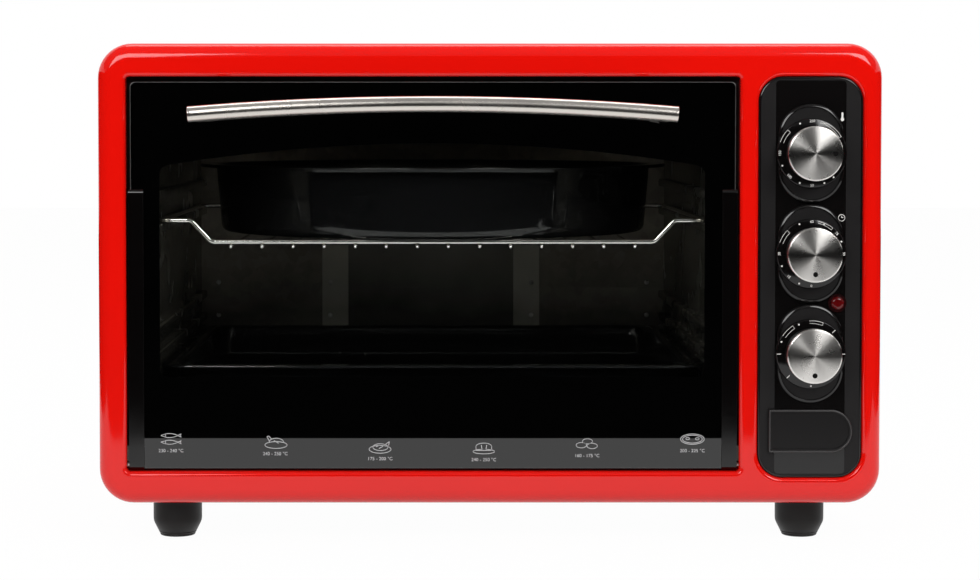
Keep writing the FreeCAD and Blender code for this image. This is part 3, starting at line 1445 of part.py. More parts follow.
def handle_washers():
    washers = []
    for x in post_places:
        disc = rod("Y", x, glass_back, post_z, d.washer_radius, d.washer_thick)
        hole = rod("Y", x, glass_back - d.overrun, post_z, d.bolt_radius, d.washer_thick + d.overrun * 2)
        washers.append(cut(disc, hole))
    keep(group(*washers), "handle_washers")


# What stands in the oven

RACK_RODS = 14
rod_pitch = (rack_flat - d.rod_margin) * 2 / (RACK_RODS - 1)


def wire_rack():
    """Chromed rack: a frame wire in four lengths and cross wires welded beneath."""
    parts = []
    west = door_middle - rack_half
    east = door_middle + rack_half
    slope = rack_flat + d.rack_slope
    stub = d.rack_bend * 2
    for y, inward in ((rack_front, 1), (rack_front + rack_span, -1)):
        end = y + inward * stub
        points = [(west, end, rack_height), (west, y, rack_height),
                  (door_middle - slope, y, rack_height), (door_middle - rack_flat, y, rack_low),
                  (door_middle + rack_flat, y, rack_low), (door_middle + slope, y, rack_height),
                  (east, y, rack_height), (east, end, rack_height)]
        parts.append(tube(points, d.rack_bend, d.wire_radius))
    for x in (west, east):
        parts.append(rod("Y", x, rack_front + stub, rack_height, d.wire_radius, rack_span - stub * 2))
    rod_z = rack_low - d.wire_radius - d.rod_radius
    for i in range(RACK_RODS):
        x = door_middle + rod_pitch * (i - (RACK_RODS - 1) / 2)
        parts.append(rod("Y", x, rack_front - d.rod_tip, rod_z, d.rod_radius, rack_span + d.rod_tip * 2))
    keep(group(*parts), "wire_rack")


pan_rim = (cavity_width / 2 - d.pan_side).least(cavity_depth / 2 - d.pan_end)
pan_mouth = pan_rim - d.pan_brim
pan_base = pan_mouth - d.pan_taper


def round_pan():
    """Deep round enamelled pan with a turned rim, standing on the rack."""
    body = new_body("round_pan")
    section = new_sketch(body, "XZ_Plane")
    t = d.pan_sheet
    tall = d.pan_height
    polygon(section, [
        (ZERO, ZERO), (pan_base, ZERO), (pan_mouth, tall - t), (pan_rim - t, tall - t),
        (pan_rim - t, tall - d.pan_lip), (pan_rim, tall - d.pan_lip), (pan_rim, tall),
        (pan_mouth - t, tall), (pan_base - t, t), (ZERO, t)])
    revolve(body, section)
    fillet(body, d.pan_round - t, lambda e: flat_at(e, "Z", t) and e.Length > pan_base.value)
    fillet(body, d.pan_round, lambda e: flat_at(e, "Z", ZERO) and e.Length > pan_base.value)
    place(body, door_middle, rack_middle, rack_low + d.wire_radius)


def square_tray():
    """Flat enamelled tray with a flange that slides on the shelf rails."""
    body = new_body("square_tray")
    t = d.pan_sheet
    half_x = cavity_width / 2 - d.tray_side
    half_y = (cavity_depth - d.tray_place - d.tray_rear) / 2
    deep = d.tray_height
    tub_x = half_x - d.tray_flange
    tub_y = half_y - d.tray_flange
    tub = plan_sketch(body, ZERO)
    rounded(tub, -tub_x, tub_x, -tub_y, tub_y, d.tray_radius)
    pad(body, tub, deep - t)
    flange = plan_sketch(body, deep - t)
    rounded(flange, -half_x, half_x, -half_y, half_y, d.tray_corner)
    pad(body, flange, t)
    hollow = plan_sketch(body, deep)
    rounded(hollow, -tub_x + t, tub_x - t, -tub_y + t, tub_y - t, d.tray_radius - t)
    pocket(body, hollow, deep - t)
    fillet(body, d.tray_round - t, lambda e: flat_at(e, "Z", t))
    fillet(body, d.tray_round, lambda e: flat_at(e, "Z", ZERO))
    place(body, door_middle, mouth + d.tray_place + half_y, tray_under - deep + t)


# The whole oven

front_frame()
outer_wrap()
base_pan()
rear_panel()
casing_screws()
side_wall("cavity_wall_left", cavity_left, -1)
side_wall("cavity_wall_right", cavity_right, 1)
level_wall("cavity_roof", cavity_roof, 1)
level_wall("cavity_floor", cavity_floor, -1)
cavity_back_wall()
cavity_supports()
bay_shield()
for name, level in element_levels.items():
    heating_element(name, level)
element_bushes()
element_clips()
control_panel()
panel_strip()
for name, z in dials.items():
    dial(name, z)
    knob(name, z)
control_plate()
control_body("thermostat", dials["thermostat"], d.thermostat_width, d.thermostat_high, d.thermostat_deep)
control_body("timer", dials["timer"], d.timer_width, dial_pitch - d.timer_gap, d.timer_deep)
control_body("selector", dials["selector"], d.selector_width, d.selector_width, d.selector_deep)
timer_bell()
thermostat_bulb()
pilot_lamp()
badge_plate()
terminal_block()
cord_gland()
for (x, y), label in zip(foot_places, ("front_left", "front_right", "rear_left", "rear_right")):
    foot(f"foot_{label}", x, y)
foot_screws()
door_glass()
door_channel("door_channel_left", mouth_left + channel_out, -1)
door_channel("door_channel_right", mouth_right - channel_out, 1)
hinge_blocks()
hinge_pins()
hinge_brackets()
door_handle()
handle_posts()
handle_screws()
handle_washers()
wire_rack()
round_pan()
square_tray()
doc.recompute()

for item in doc.Objects:
    if "Invalid" in item.State or "Error" in item.State:
        parent = item.getParentGeoFeatureGroup()
        raise ValueError(f"{item.Name} of {parent.Label if parent else item.Label} is {item.State}")

os.makedirs("parts", exist_ok=True)
for item in KEPT:
    shape = item.Shape
    if shape.isNull() or not shape.isValid():
        raise ValueError(f"{item.Label} has no sound shape")
    shape.exportStep(f"parts/{item.Label}.step")
print(len(KEPT), "sub-parts written")
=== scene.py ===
# %% [markdown]
# # A table-top oven, dressed piece by piece
# The oven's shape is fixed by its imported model. This lesson loads that model as a frame, sets
# a camera and a small studio round it, gives every piece a finish made from nodes, and adds
# what the solids can't show: the printed glass, the marks on the dials, the rolled rims of
# the cookware and the rounded wire ends of the rack.

# %% Load the oven
import json
from math import asin, atan2, cos, degrees, hypot, pi, radians, sin

import bmesh
import bpy
from mathutils import Matrix, Vector


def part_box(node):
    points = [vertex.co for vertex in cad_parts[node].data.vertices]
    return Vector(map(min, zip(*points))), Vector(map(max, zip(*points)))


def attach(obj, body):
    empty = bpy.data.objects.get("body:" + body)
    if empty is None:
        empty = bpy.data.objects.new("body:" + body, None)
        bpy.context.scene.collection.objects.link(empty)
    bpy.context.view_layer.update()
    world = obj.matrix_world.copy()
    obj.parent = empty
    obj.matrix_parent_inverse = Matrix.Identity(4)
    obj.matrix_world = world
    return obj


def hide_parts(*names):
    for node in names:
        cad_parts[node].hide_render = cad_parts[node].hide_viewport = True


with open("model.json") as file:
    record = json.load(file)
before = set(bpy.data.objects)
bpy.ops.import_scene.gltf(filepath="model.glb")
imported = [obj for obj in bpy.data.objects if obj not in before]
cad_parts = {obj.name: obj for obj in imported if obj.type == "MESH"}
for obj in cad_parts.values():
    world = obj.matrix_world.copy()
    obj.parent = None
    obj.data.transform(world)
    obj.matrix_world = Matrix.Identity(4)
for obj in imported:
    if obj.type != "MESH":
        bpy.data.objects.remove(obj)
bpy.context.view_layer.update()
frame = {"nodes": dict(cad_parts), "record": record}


def placed(name, data):
    """A new object in the scene."""
    thing = bpy.data.objects.new(name, data)
    bpy.context.scene.collection.objects.link(thing)
    return thing


MM = 0.001
MICRON = 0.000001

# %% [markdown]
# ## Where the camera stands
# A product photo is taken from straight in front with a long lens, so that the sides stay
# parallel. This one was taken from 1.6 m away, a little left of the middle and nearly as high
# as the door, tilted down by some two degrees. A lens shift puts the oven where the photo has
# it without turning the camera any further.

# %% Camera
PHOTO_WIDTH, FOCAL_PIXELS, SENSOR, TILT = 980, 2424, 36, 2.2
EYE_X, EYE_Y, EYE_Z = -38.55, -1779.9, 281.2
camera_data = bpy.data.cameras.new("oven_camera")
camera_data.sensor_width = SENSOR
camera_data.lens = FOCAL_PIXELS * SENSOR / PHOTO_WIDTH
camera_data.shift_x = 0.0595
camera_data.shift_y = -0.0784
camera_data.clip_start = 0.05
camera = placed("oven_camera", camera_data)
camera.location = (EYE_X * MM, EYE_Y * MM, EYE_Z * MM)
camera.rotation_euler = (radians(90 - TILT), 0, 0)
bpy.context.scene.camera = camera
print("lens:", round(camera_data.lens, 1), "mm")

# %% [markdown]
# ## Helpers for nodes
# Materials here are small trees of nodes. Writing each link by hand hides the idea, so one
# helper adds a node, sets its menus, and fills its sockets with values or with links.

# %% Node helpers


def add(tree, kind, inputs=None, **menus):
    """Add a shader node; inputs are values or sockets, menus are its own settings."""
    item = tree.nodes.new("ShaderNode" + kind)
    for name, value in menus.items():
        setattr(item, name, value)
    for name, value in (inputs or {}).items():
        if isinstance(value, bpy.types.NodeSocket):
            tree.links.new(value, item.inputs[name])
        else:
            item.inputs[name].default_value = value
    return item


def effect(output, **given):
    """Make a node group of the function below; it gets sockets by these names and first values."""
    def build(fill):
        tree = bpy.data.node_groups.new(fill.__name__, "ShaderNodeTree")
        for name, value in given.items():
            kind = ("Color" if len(value) == 4 else "Vector") if isinstance(value, tuple) else "Float"
            socket = tree.interface.new_socket(name, in_out="INPUT", socket_type="NodeSocket" + kind)
            socket.default_value = value
        kind = "Color" if output == "Color" else "Float"
        tree.interface.new_socket(output, in_out="OUTPUT", socket_type="NodeSocket" + kind)
        made = fill(tree, tree.nodes.new("NodeGroupInput").outputs)
        tree.links.new(made, tree.nodes.new("NodeGroupOutput").inputs[0])
        return tree
    return build


def use(tree, effect_group, **inputs):
    """Place a node group in a material and give its output."""
    return add(tree, "Group", inputs, node_tree=effect_group).outputs[0]


def maths(tree, operation, a, b=0, c=0):
    """One arithmetic step."""
    return add(tree, "Math", {0: a, 1: b, 2: c}, operation=operation).outputs[0]


def vectors(tree, operation, a, b=(0, 0, 0)):
    """One step with vectors, which gives a vector or a value."""
    outputs = add(tree, "VectorMath", {0: a, 1: b}, operation=operation).outputs
    return outputs["Value" if operation in ("LENGTH", "DOT_PRODUCT") else "Vector"]


# %% [markdown]
# ## The effects that finishes share
# Enamel, plastic and steel differ, but the ways in which they aren't perfect are the same: tone and gloss drift, the
# surface has a fine grain, and edges wear. A last effect paints shade: steel is made darker towards the floor of the
# oven. Each effect is one node group, and every material places it with its own values. All use object coordinates,
# so a scale is the number of features in a metre on every piece.

# %% Tone drift
GREY = (0.5, 0.5, 0.5, 1)


def object_place(tree):
    """Where a point of the surface lies on the object."""
    return add(tree, "TexCoord").outputs["Object"]


def clouds(tree, scale, detail, rough=0.5):
    """Soft patches between 0 and 1, so many in a metre."""
    return add(tree, "TexNoise", {"Vector": object_place(tree), "Scale": scale, "Detail": detail,
                                  "Roughness": rough}).outputs[0]


def both_ways(tree, level, amount, middle):
    """A middle value, moved up or down by an amount with a level between 0 and 1."""
    swing = maths(tree, "MULTIPLY_ADD", level, 2, -1)
    return maths(tree, "MULTIPLY_ADD", swing, amount, middle)


def shaded(tree, given, level):
    """The given colour, lighter or darker with a level between 0 and 1."""
    lift = both_ways(tree, level, given["Amount"], 1)
    return add(tree, "VectorMath", {0: given["Color"], "Scale": lift}, operation="SCALE").outputs[0]


@effect("Color", Color=GREY, Amount=0.1, Scale=20)
def tone_drift(tree, given):
    """Lighter and darker patches."""
    return shaded(tree, given, clouds(tree, given["Scale"], 4, 0.6))


# %% Gloss drift
@effect("Roughness", Roughness=0.3, Spread=0.05, Scale=30)
def gloss_drift(tree, given):
    """Sharper and duller patches."""
    rough = both_ways(tree, clouds(tree, given["Scale"], 3), given["Spread"], given["Roughness"])
    return add(tree, "Clamp", {"Value": rough}).outputs[0]


# %% Fine grain
@effect("Height", Scale=900, Stretch=(1, 1, 1))
def fine_grain(tree, given):
    """A grain that can be drawn out in one direction."""
    drawn = vectors(tree, "MULTIPLY", object_place(tree), given["Stretch"])
    return add(tree, "TexNoise", {"Vector": drawn, "Scale": given["Scale"], "Detail": 2}).outputs[0]


# %% Edge wear
WEAR_GAIN = 9


@effect("Mask", Width=0.0006, Amount=0.5)
def edge_wear(tree, given):
    """Where a rounded edge would differ from the true side, broken up by patches."""
    rounded = add(tree, "Bevel", {"Radius": given["Width"]}, samples=4).outputs[0]
    along = vectors(tree, "DOT_PRODUCT", rounded, add(tree, "NewGeometry").outputs["Normal"])
    broken = maths(tree, "MULTIPLY", maths(tree, "SUBTRACT", 1, along), clouds(tree, 220, 3))
    kept = add(tree, "Clamp", {"Value": maths(tree, "MULTIPLY", broken, WEAR_GAIN)})
    return maths(tree, "MULTIPLY", kept.outputs[0], given["Amount"])


# %% Painted shade that grows towards the floor of the oven
SHADE_RAGGED = 0.03


# Painted shade: the oven's steel is made darker towards its floor, with a ragged edge.
@effect("Mask", Low=0.1, High=0.2, Amount=0.5)
def painted_floor_shade(tree, given):
    """Full below one height and gone above another, with a ragged edge."""
    level = add(tree, "SeparateXYZ", {0: object_place(tree)}).outputs["Z"]
    uneven = maths(tree, "MULTIPLY_ADD", clouds(tree, 24, 3), SHADE_RAGGED, level)
    fade = add(tree, "MapRange", {"Value": uneven, "From Min": given["Low"], "From Max": given["High"],
                                  "To Min": 1, "To Max": 0})
    return maths(tree, "MULTIPLY", fade.outputs[0], given["Amount"])


# %% Rings left by a lathe
@effect("Height", Centre=(0, 0, 0), Scale=2500)
def lathe_rings(tree, given):
    """Ridges that depend only on how far a point lies from an axis along Y."""
    flat = vectors(tree, "MULTIPLY", vectors(tree, "SUBTRACT", object_place(tree), given["Centre"]), (1, 0, 1))
    reach = maths(tree, "MULTIPLY", vectors(tree, "LENGTH", flat), given["Scale"])
    return add(tree, "TexNoise", {"W": reach, "Scale": 1, "Detail": 2}, noise_dimensions="1D").outputs[0]


# %% Spangle of coated sheet steel
@effect("Color", Color=GREY, Amount=0.2, Scale=90)
def sheet_spangle(tree, given):
    """Flakes, each of them a little lighter or darker."""
    flake = add(tree, "TexVoronoi", {"Vector": object_place(tree), "Scale": given["Scale"]}).outputs["Color"]
    return shaded(tree, given, add(tree, "SeparateColor", {"Color": flake}).outputs[0])


print("shared effects:", len(bpy.data.node_groups))

# %% [markdown]
# ## A finish is one material
# Every finish is one Principled shader whose colour, gloss and bump come from the shared effects. What is the same
# all over, such as the index of refraction, is set on the shader's own sockets. Drift and gloss are an amount and a
# number of features in a metre, grain is that number and a height in micrometres, wear is a colour, a width and an
# amount, and the shade below, which is painted shade, is a colour, the heights between which it fades, and an
# amount.

# %% The finish helper
finishes = {}


def finish(name, colour, rough=0.4, metal=0, drift=(0.06, 18), gloss=(0.04, 40),
           grain=(900, 20), stretch=(1, 1, 1), shine=0.5, wear=None, shade_below=None, **fixed):
    """A material: drifting colour and gloss, grain as bump, worn edges and painted shade low down.
    It gives back its tree and shader, for finishes that need another node."""
    material = bpy.data.materials.new(name)
    material.use_nodes = True
    tree = material.node_tree
    shader = tree.nodes["Principled BSDF"]
    colour_out = use(tree, tone_drift, Color=(*colour, 1), Amount=drift[0], Scale=drift[1])
    layers = []
    # Painted shade: the colour is made darker towards the floor of the oven.
    if shade_below:
        layers.append((shade_below[0], use(tree, painted_floor_shade, Low=shade_below[1], High=shade_below[2], Amount=shade_below[3])))
    if wear:
        layers.append((wear[0], use(tree, edge_wear, Width=wear[1], Amount=wear[2])))
    for bared_and_shaded, masked in layers:
        mix = add(tree, "Mix", {0: masked, 6: colour_out, 7: (*bared_and_shaded, 1)}, data_type="RGBA")
        colour_out = mix.outputs[2]
    tree.links.new(colour_out, shader.inputs["Base Color"])
    rough_out = use(tree, gloss_drift, Roughness=rough, Spread=gloss[0], Scale=gloss[1])
    tree.links.new(rough_out, shader.inputs["Roughness"])
    if grain:
        height = use(tree, fine_grain, Scale=grain[0], Stretch=stretch)
        bump = add(tree, "Bump", {"Height": height, "Distance": grain[1] * MICRON, "Strength": 1.0})
        tree.links.new(bump.outputs[0], shader.inputs["Normal"])
    shader.inputs["Metallic"].default_value = metal
    shader.inputs["Specular IOR Level"].default_value = shine
    for socket, value in fixed.items():
        shader.inputs[socket.replace("_", " ")].default_value = value
    finishes[name] = material
    return tree, shader


# %% [markdown]
# ## Enamel, paint and plastic
# The front is pressed steel under a deep glossy red: nearly no grain, a sharp reflection,
# and a slow drift of tone. The controls sit in a moulded panel with a fine matt grain, and
# the inlay and dials are the same plastic polished.

# %% Painted and moulded finishes
finish("red_enamel", (0.70, 0.0048, 0.0022), rough=0.07, drift=(0.05, 9), gloss=(0.02, 22),
       grain=(140, 12))
finish("black_steel", (0.0018, 0.0014, 0.0014), rough=0.11, drift=(0.12, 30), gloss=(0.04, 60),
       grain=(1500, 6), wear=((0.05, 0.045, 0.045), 0.0004, 0.3))
finish("panel_plastic", (0.0065, 0.0055, 0.0058), rough=0.42, drift=(0.08, 60), gloss=(0.05, 90),
       grain=(2600, 30), wear=((0.03, 0.028, 0.028), 0.0004, 0.3), shine=0.32)
finish("holder_plastic", (0.016, 0.0022, 0.0025), rough=0.16, drift=(0.2, 90), gloss=(0.04, 90),
       grain=(1500, 8))
finish("badge_plastic", (0.005, 0.0043, 0.0045), rough=0.3, drift=(0.08, 60), gloss=(0.05, 90),
       grain=(2200, 10), shine=0.3, wear=((0.05, 0.046, 0.046), 0.0004, 0.3))
finish("mark_black", (0.0022, 0.002, 0.002), rough=0.7, drift=(0.2, 200), grain=(2600, 20), shine=0.1)
finish("gloss_inlay", (0.0035, 0.003, 0.003), rough=0.1, drift=(0.1, 40), gloss=(0.03, 50),
       grain=(500, 4))
finish("knob_plastic", (0.003, 0.0027, 0.0027), rough=0.42, drift=(0.1, 60), gloss=(0.05, 80),
       grain=(1800, 10))
finish("foot_plastic", (0.0036, 0.0024, 0.002), rough=0.46, drift=(0.15, 60), gloss=(0.08, 70),
       grain=(1900, 40), wear=((0.02, 0.017, 0.015), 0.0006, 0.4), shine=0.3)
finish("gland_plastic", (0.012, 0.012, 0.012), rough=0.5, drift=(0.12, 80), grain=(2200, 40))
finish("plug_plastic", (0.03, 0.029, 0.029), rough=0.45, drift=(0.12, 90), grain=(2200, 30))
finish("control_case", (0.5, 0.47, 0.42), rough=0.5, drift=(0.08, 50), grain=(1600, 30))
finish("ceramic", (0.68, 0.63, 0.54), rough=0.6, drift=(0.1, 120), grain=(1900, 50))
finish("lamp_red", (0.085, 0.0018, 0.0025), rough=0.09, drift=(0.2, 260), gloss=(0.02, 120),
       grain=(700, 4))
finish("black_enamel", (0.0042, 0.0042, 0.0045), rough=0.045, drift=(0.25, 120), gloss=(0.02, 60),
       grain=(260, 6))
print("painted and moulded finishes:", len(finishes))

# %% [markdown]
# ## Bare metals
# Bare metal shows how it was worked. The handle was ground along its length, so its grain
# is stretched along X, and the shafts were drawn, so theirs is stretched along Y. The liner
# is steel coated with aluminium, which crystallises in small dull flakes.

# %% Metal finishes
finish("handle_steel", (0.72, 0.68, 0.63), rough=0.26, metal=1, drift=(0.05, 30), gloss=(0.06, 25),
       grain=(2400, 1), stretch=(0.01, 1, 1))
finish("rack_chrome", (0.86, 0.84, 0.81), rough=0.12, metal=1, drift=(0.08, 120), gloss=(0.08, 200),
       grain=(900, 30))
finish("zinc_sheet", (0.5, 0.51, 0.52), rough=0.38, metal=1, drift=(0.14, 45), gloss=(0.1, 55),
       grain=(700, 30))
finish("element_steel", (0.16, 0.145, 0.13), rough=0.52, metal=0.8, drift=(0.4, 55), gloss=(0.12, 70),
       grain=(1300, 60))
finish("fastener_steel", (0.6, 0.59, 0.57), rough=0.3, metal=1, drift=(0.1, 200), gloss=(0.08, 300),
       grain=(2500, 30))
finish("shaft_steel", (0.58, 0.57, 0.55), rough=0.28, metal=1, drift=(0.06, 200),
       grain=(3000, 30), stretch=(1, 0.1, 1))
finish("bell_steel", (0.62, 0.62, 0.62), rough=0.2, metal=1, drift=(0.08, 90), grain=(1500, 30))
finish("copper_tube", (0.72, 0.38, 0.24), rough=0.32, metal=1, drift=(0.2, 90), grain=(1500, 30))

# Painted shade: the liner is made darker towards the floor of the oven.
tree, shader = finish(
    "liner_steel", (0.48, 0.435, 0.37), rough=0.42, metal=0.8, drift=(0.12, 9), gloss=(0.1, 30),
    grain=(500, 50), shade_below=((0.06, 0.055, 0.047), 0.14, 0.205, 0.95))
under = shader.inputs["Base Color"].links[0].from_socket
tree.links.new(use(tree, sheet_spangle, Color=under, Amount=0.12, Scale=160), shader.inputs["Base Color"])
# The side walls get a darker copy of the liner's steel: its darker colour is painted shade, its lower roughness
# gives the mottled highlights, and it is also darker towards the floor.
finish("shaded_wall_steel", (0.3, 0.283, 0.25), rough=0.25, metal=0.93, drift=(0.2, 14), gloss=(0.12, 24),
       grain=(40, 300), shade_below=((0.15, 0.138, 0.12), 0.13, 0.2, 0.7))
print("finishes so far:", len(finishes))

# %% [markdown]
# ## Spun metal caps
# A cap is turned on a lathe, and its rings are too fine to see one by one. They stretch
# each reflection across themselves, which draws the bright fans that meet in the middle.
# An anisotropic shader with a tangent that runs round the knob's axis gives those fans.
# Each cap gets its own material, because the rings have their own centre.

# %% Cap finish
RING_HEIGHT = 6


def spun_finish(name, node):
    """Spun metal for one cap, with its rings round the cap's own axis."""
    low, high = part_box(node)
    centre = (low + high) / 2
    tree, shader = finish(
        name, (0.86, 0.835, 0.8), rough=0.28, metal=1, drift=(0.03, 120), gloss=(0.04, 90),
        Anisotropic=0.9, Anisotropic_Rotation=0.25)
    rings = use(tree, lathe_rings, Centre=tuple(centre), Scale=5200)
    bump = shader.inputs["Normal"].links[0].from_node
    bump.inputs["Distance"].default_value = RING_HEIGHT * MICRON
    tree.links.new(rings, bump.inputs["Height"])
    tangent = add(tree, "Tangent", direction_type="RADIAL", axis="Y")
    tree.links.new(tangent.outputs[0], shader.inputs["Tangent"])
    print(name, "round", [round(value, 4) for value in centre])


CONTROLS = ("thermostat", "timer", "selector")
for name in CONTROLS:
    spun_finish(f"spun_metal_{name}", f"{name}_cap")

# %% [markdown]
# ## Toughened glass
# Glass needs one more node: a lamp's ray that meets it would stop, so a Transparent shader
# takes its place for those rays alone, and the shelves behind the door are lit.

# %% Glass finish
tree, shader = finish(
    "door_pane", (0.94, 0.955, 0.94), rough=0, drift=(0.01, 10), gloss=(0.003, 12), grain=None,
    Transmission_Weight=1, IOR=1.42)
let_through = add(tree, "BsdfTransparent", {"Color": (0.9, 0.92, 0.9, 1)})
path = add(tree, "LightPath")
choose = add(tree, "MixShader", {0: path.outputs["Is Shadow Ray"], 1: shader.outputs[0],
                                2: let_through.outputs[0]})
tree.links.new(choose.outputs[0], tree.nodes["Material Output"].inputs["Surface"])

# %% [markdown]
# ## Dress the solids
# The imported record gives every solid a finish slot, so one loop dresses them. A few differ from the rest of their
# slot: the badge and the lamp's holder from the panel, the side walls from the back wall with a darker copy of its
# steel as painted shade, and each cap from the others.

# %% Finishes onto solids
OWN_FINISHES = {"badge_plate": "badge_plastic", "lamp_holder": "holder_plastic",
                "cavity_wall_left": "shaded_wall_steel", "cavity_wall_right": "shaded_wall_steel"}
OWN_FINISHES.update({f"{name}_cap": f"spun_metal_{name}" for name in CONTROLS})
for part in frame["record"]["subparts"]:
    solid = frame["nodes"][part["node"]]
    solid.data.materials.clear()
    solid.data.materials.append(finishes[OWN_FINISHES.get(part["node"], part["material_slot"])])

# %% [markdown]
# ## Helpers for new pieces
# New pieces are written in millimetres and kept in metres. A piece is made of loops of
# points that are joined in order, or of flat outlines that are given a thickness.

# %% Mesh helpers


def settle(name, shape, look, body="casing", replaced=(), slot=None, angle=35):
    """Turn a mesh, or the bmesh it is worked in, into a named piece that rides on a body."""
    mesh, slot = shape, slot or look
    if isinstance(shape, bmesh.types.BMesh):
        bmesh.ops.recalc_face_normals(shape, faces=shape.faces[:])
        mesh = bpy.data.meshes.new(name)
        shape.to_mesh(mesh)
        shape.free()
    mesh.name = name
    for face in mesh.polygons:
        face.use_smooth = True
    mesh.set_sharp_from_angle(angle=radians(angle))
    mesh.materials.clear()
    mesh.materials.append(finishes[look])
    piece = placed(name, mesh)
    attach(piece, body)
    if replaced:
        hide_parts(*replaced)
    print(name, "on the", body + ":", len(mesh.polygons), "faces of", look)


def bridge(work, loops, closed=False, lids=()):
    """Join rings of the same number of points, one after another, and put lids on some."""
    rings = [[work.verts.new(Vector(p) * MM) for p in loop] for loop in loops]
    for first, second in list(zip(rings, rings[1:])) + ([(rings[-1], rings[0])] if closed else []):
        for i in range(len(first)):
            j = (i + 1) % len(first)
            work.faces.new((first[i], first[j], second[j], second[i]))
    for i in lids:
        work.faces.new(rings[i])


def steps(start, end, count):
    """Evenly spaced values from a start to an end, both of them included."""
    return [start + (end - start) * i / count for i in range(count + 1)]


def turned(profile, centre, along, sides=96):
    """Rings of a turned piece: radius and height along Z, or towards the front, from a centre."""
    cx, cy, cz = centre
    turns = steps(0, 2 * pi, sides)[:-1]
    if along == "Z":
        return [[(cx + r * cos(a), cy + r * sin(a), cz + h) for a in turns] for r, h in profile]
    return [[(cx + r * cos(a), cy - h, cz + r * sin(a)) for a in turns] for r, h in profile]


def turned_piece(name, rings, look, body="casing", closed=False, lids=(), **rest):
    """One piece from the rings of a lathe, or from any other rings."""
    work = bmesh.new()
    bridge(work, rings, closed, lids)
    settle(name, work, look, body, **rest)


def bead(work, path, section, y, closed=False):
    """A moulded bead that follows a path on a front face; the section gives out and up."""
    loops = []
    last = len(path) - 1
    for i, (x, z) in enumerate(path):
        x0, z0 = path[i - 1 if closed else max(i - 1, 0)]
        x1, z1 = path[(i + 1) % len(path) if closed else min(i + 1, last)]
        run = hypot(x1 - x0, z1 - z0)
        nx, nz = -(z1 - z0) / run, (x1 - x0) / run
        loops.append([(x + nx * out, y - up, z + nz * out) for out, up in section])
    bridge(work, loops, closed, () if closed else (0, -1))


def front_outline(work, outline, coat):
    """A thin prism that faces the front: outline in X and Z, and a coat's back and thickness."""
    y, thick = coat
    bridge(work, [[(x, y - deep, z) for x, z in outline] for deep in (0, thick)], lids=(1, 0))


def arc(cx, cz, rx, rz, start, end, count):
    """Points on part of an oval; angles in degrees, clockwise from the top."""
    turns = [radians(turn) for turn in steps(start, end, count)]
    return [(cx + rx * sin(a), cz + rz * cos(a)) for a in turns]


def stroke(work, points, wide, coat, closed=False):
    """A drawn line of one width through points, as a chain of thin prisms."""
    chain = list(points) + ([points[0]] if closed else [])
    half, lap = wide / 2, wide / 6
    for (x0, z0), (x1, z1) in zip(chain, chain[1:]):
        run = hypot(x1 - x0, z1 - z0)
        if run == 0:
            continue
        ux, uz = (x1 - x0) / run, (z1 - z0) / run
        ax, az, bx, bz = x0 - ux * lap, z0 - uz * lap, x1 + ux * lap, z1 + uz * lap
        front_outline(work, [(ax - uz * half, az + ux * half), (bx - uz * half, bz + ux * half),
                             (bx + uz * half, bz - ux * half), (ax + uz * half, az - ux * half)], coat)


def mesh_of(curve, stand, turn=0):
    """The mesh of a drawn curve or text, turned clockwise, set upright and moved to its stand."""
    maker = placed(curve.name, curve)
    mesh = bpy.data.meshes.new_from_object(maker.evaluated_get(bpy.context.evaluated_depsgraph_get()))
    bpy.data.objects.remove(maker)
    mesh.transform(Matrix.Translation(Vector(stand) * MM) @ Matrix.Rotation(radians(90), 4, "X")
                   @ Matrix.Rotation(radians(-turn), 4, "Z"))
    return mesh


def letters(work, text, size, x, z, coat, turn=0, bold=0, apart=1):
    """Plain figures, centred on a point of a front face, turned clockwise by some degrees."""
    y, thick = coat
    curve = bpy.data.curves.new("figures", "FONT")
    curve.body = text
    curve.size = size * MM
    curve.align_x = "CENTER"
    curve.align_y = "CENTER"
    curve.extrude = thick * MM / 2
    curve.offset = bold * MM
    curve.space_character = apart
    mesh = mesh_of(curve, (x, y - thick / 2, z), turn)
    work.from_mesh(mesh)
    bpy.data.meshes.remove(mesh)


def box_mm(node):
    """A solid's lowest and highest corners in millimetres."""
    low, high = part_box(node)
    return low / MM, high / MM


def half_way(low, high):
    """The middle of a box."""
    return (low.x + high.x) / 2, (low.y + high.y) / 2, (low.z + high.z) / 2


# %% [markdown]
# ## Flat pieces from outlines
# The pane, its print, the seal and the plates are flat. Each is drawn as closed outlines that
# Blender fills, and an outline inside another becomes a hole. That leaves far fewer faces
# than cutting holes with solids.

# %% Filled outlines


def filled(outlines, y_front, thick, bevel=0):
    """A sheet that faces the front, made from closed outlines in X and Z."""
    curve = bpy.data.curves.new("outlines", "CURVE")
    curve.dimensions = "2D"
    curve.fill_mode = "BOTH"
    curve.extrude = (thick / 2 - bevel) * MM
    curve.bevel_depth = bevel * MM
    curve.bevel_resolution = 1
    curve.offset = -bevel * MM
    for outline in outlines:
        line = curve.splines.new("POLY")
        line.points.add(len(outline) - 1)
        for point, (x, z) in zip(line.points, outline):
            point.co = (x * MM, z * MM, 0, 1)
        line.use_cyclic_u = True
    return mesh_of(curve, (0, y_front + thick / 2, 0))


def corner(cx, cz, radius, start, count=6):
    """A quarter of a circle, clockwise from an angle that is measured from the top."""
    return arc(cx, cz, radius, radius, start, start + 90, count)


def round_box(left, right, low, high, radius, count=6):
    """A rectangle with round corners, clockwise from its upper right corner."""
    centres = ((right - radius, high - radius), (right - radius, low + radius),
               (left + radius, low + radius), (left + radius, high - radius))
    return [point for i, (cx, cz) in enumerate(centres) for point in corner(cx, cz, radius, 90 * i, count)]


# %% [markdown]
# ## The glass
# The door is a single toughened pane with two notches for the hinges and two holes for the
# handle. Its edge is ground, and that narrow bright bevel is what shows round the dark door,
# so it is a ring of its own with a dull grey finish.

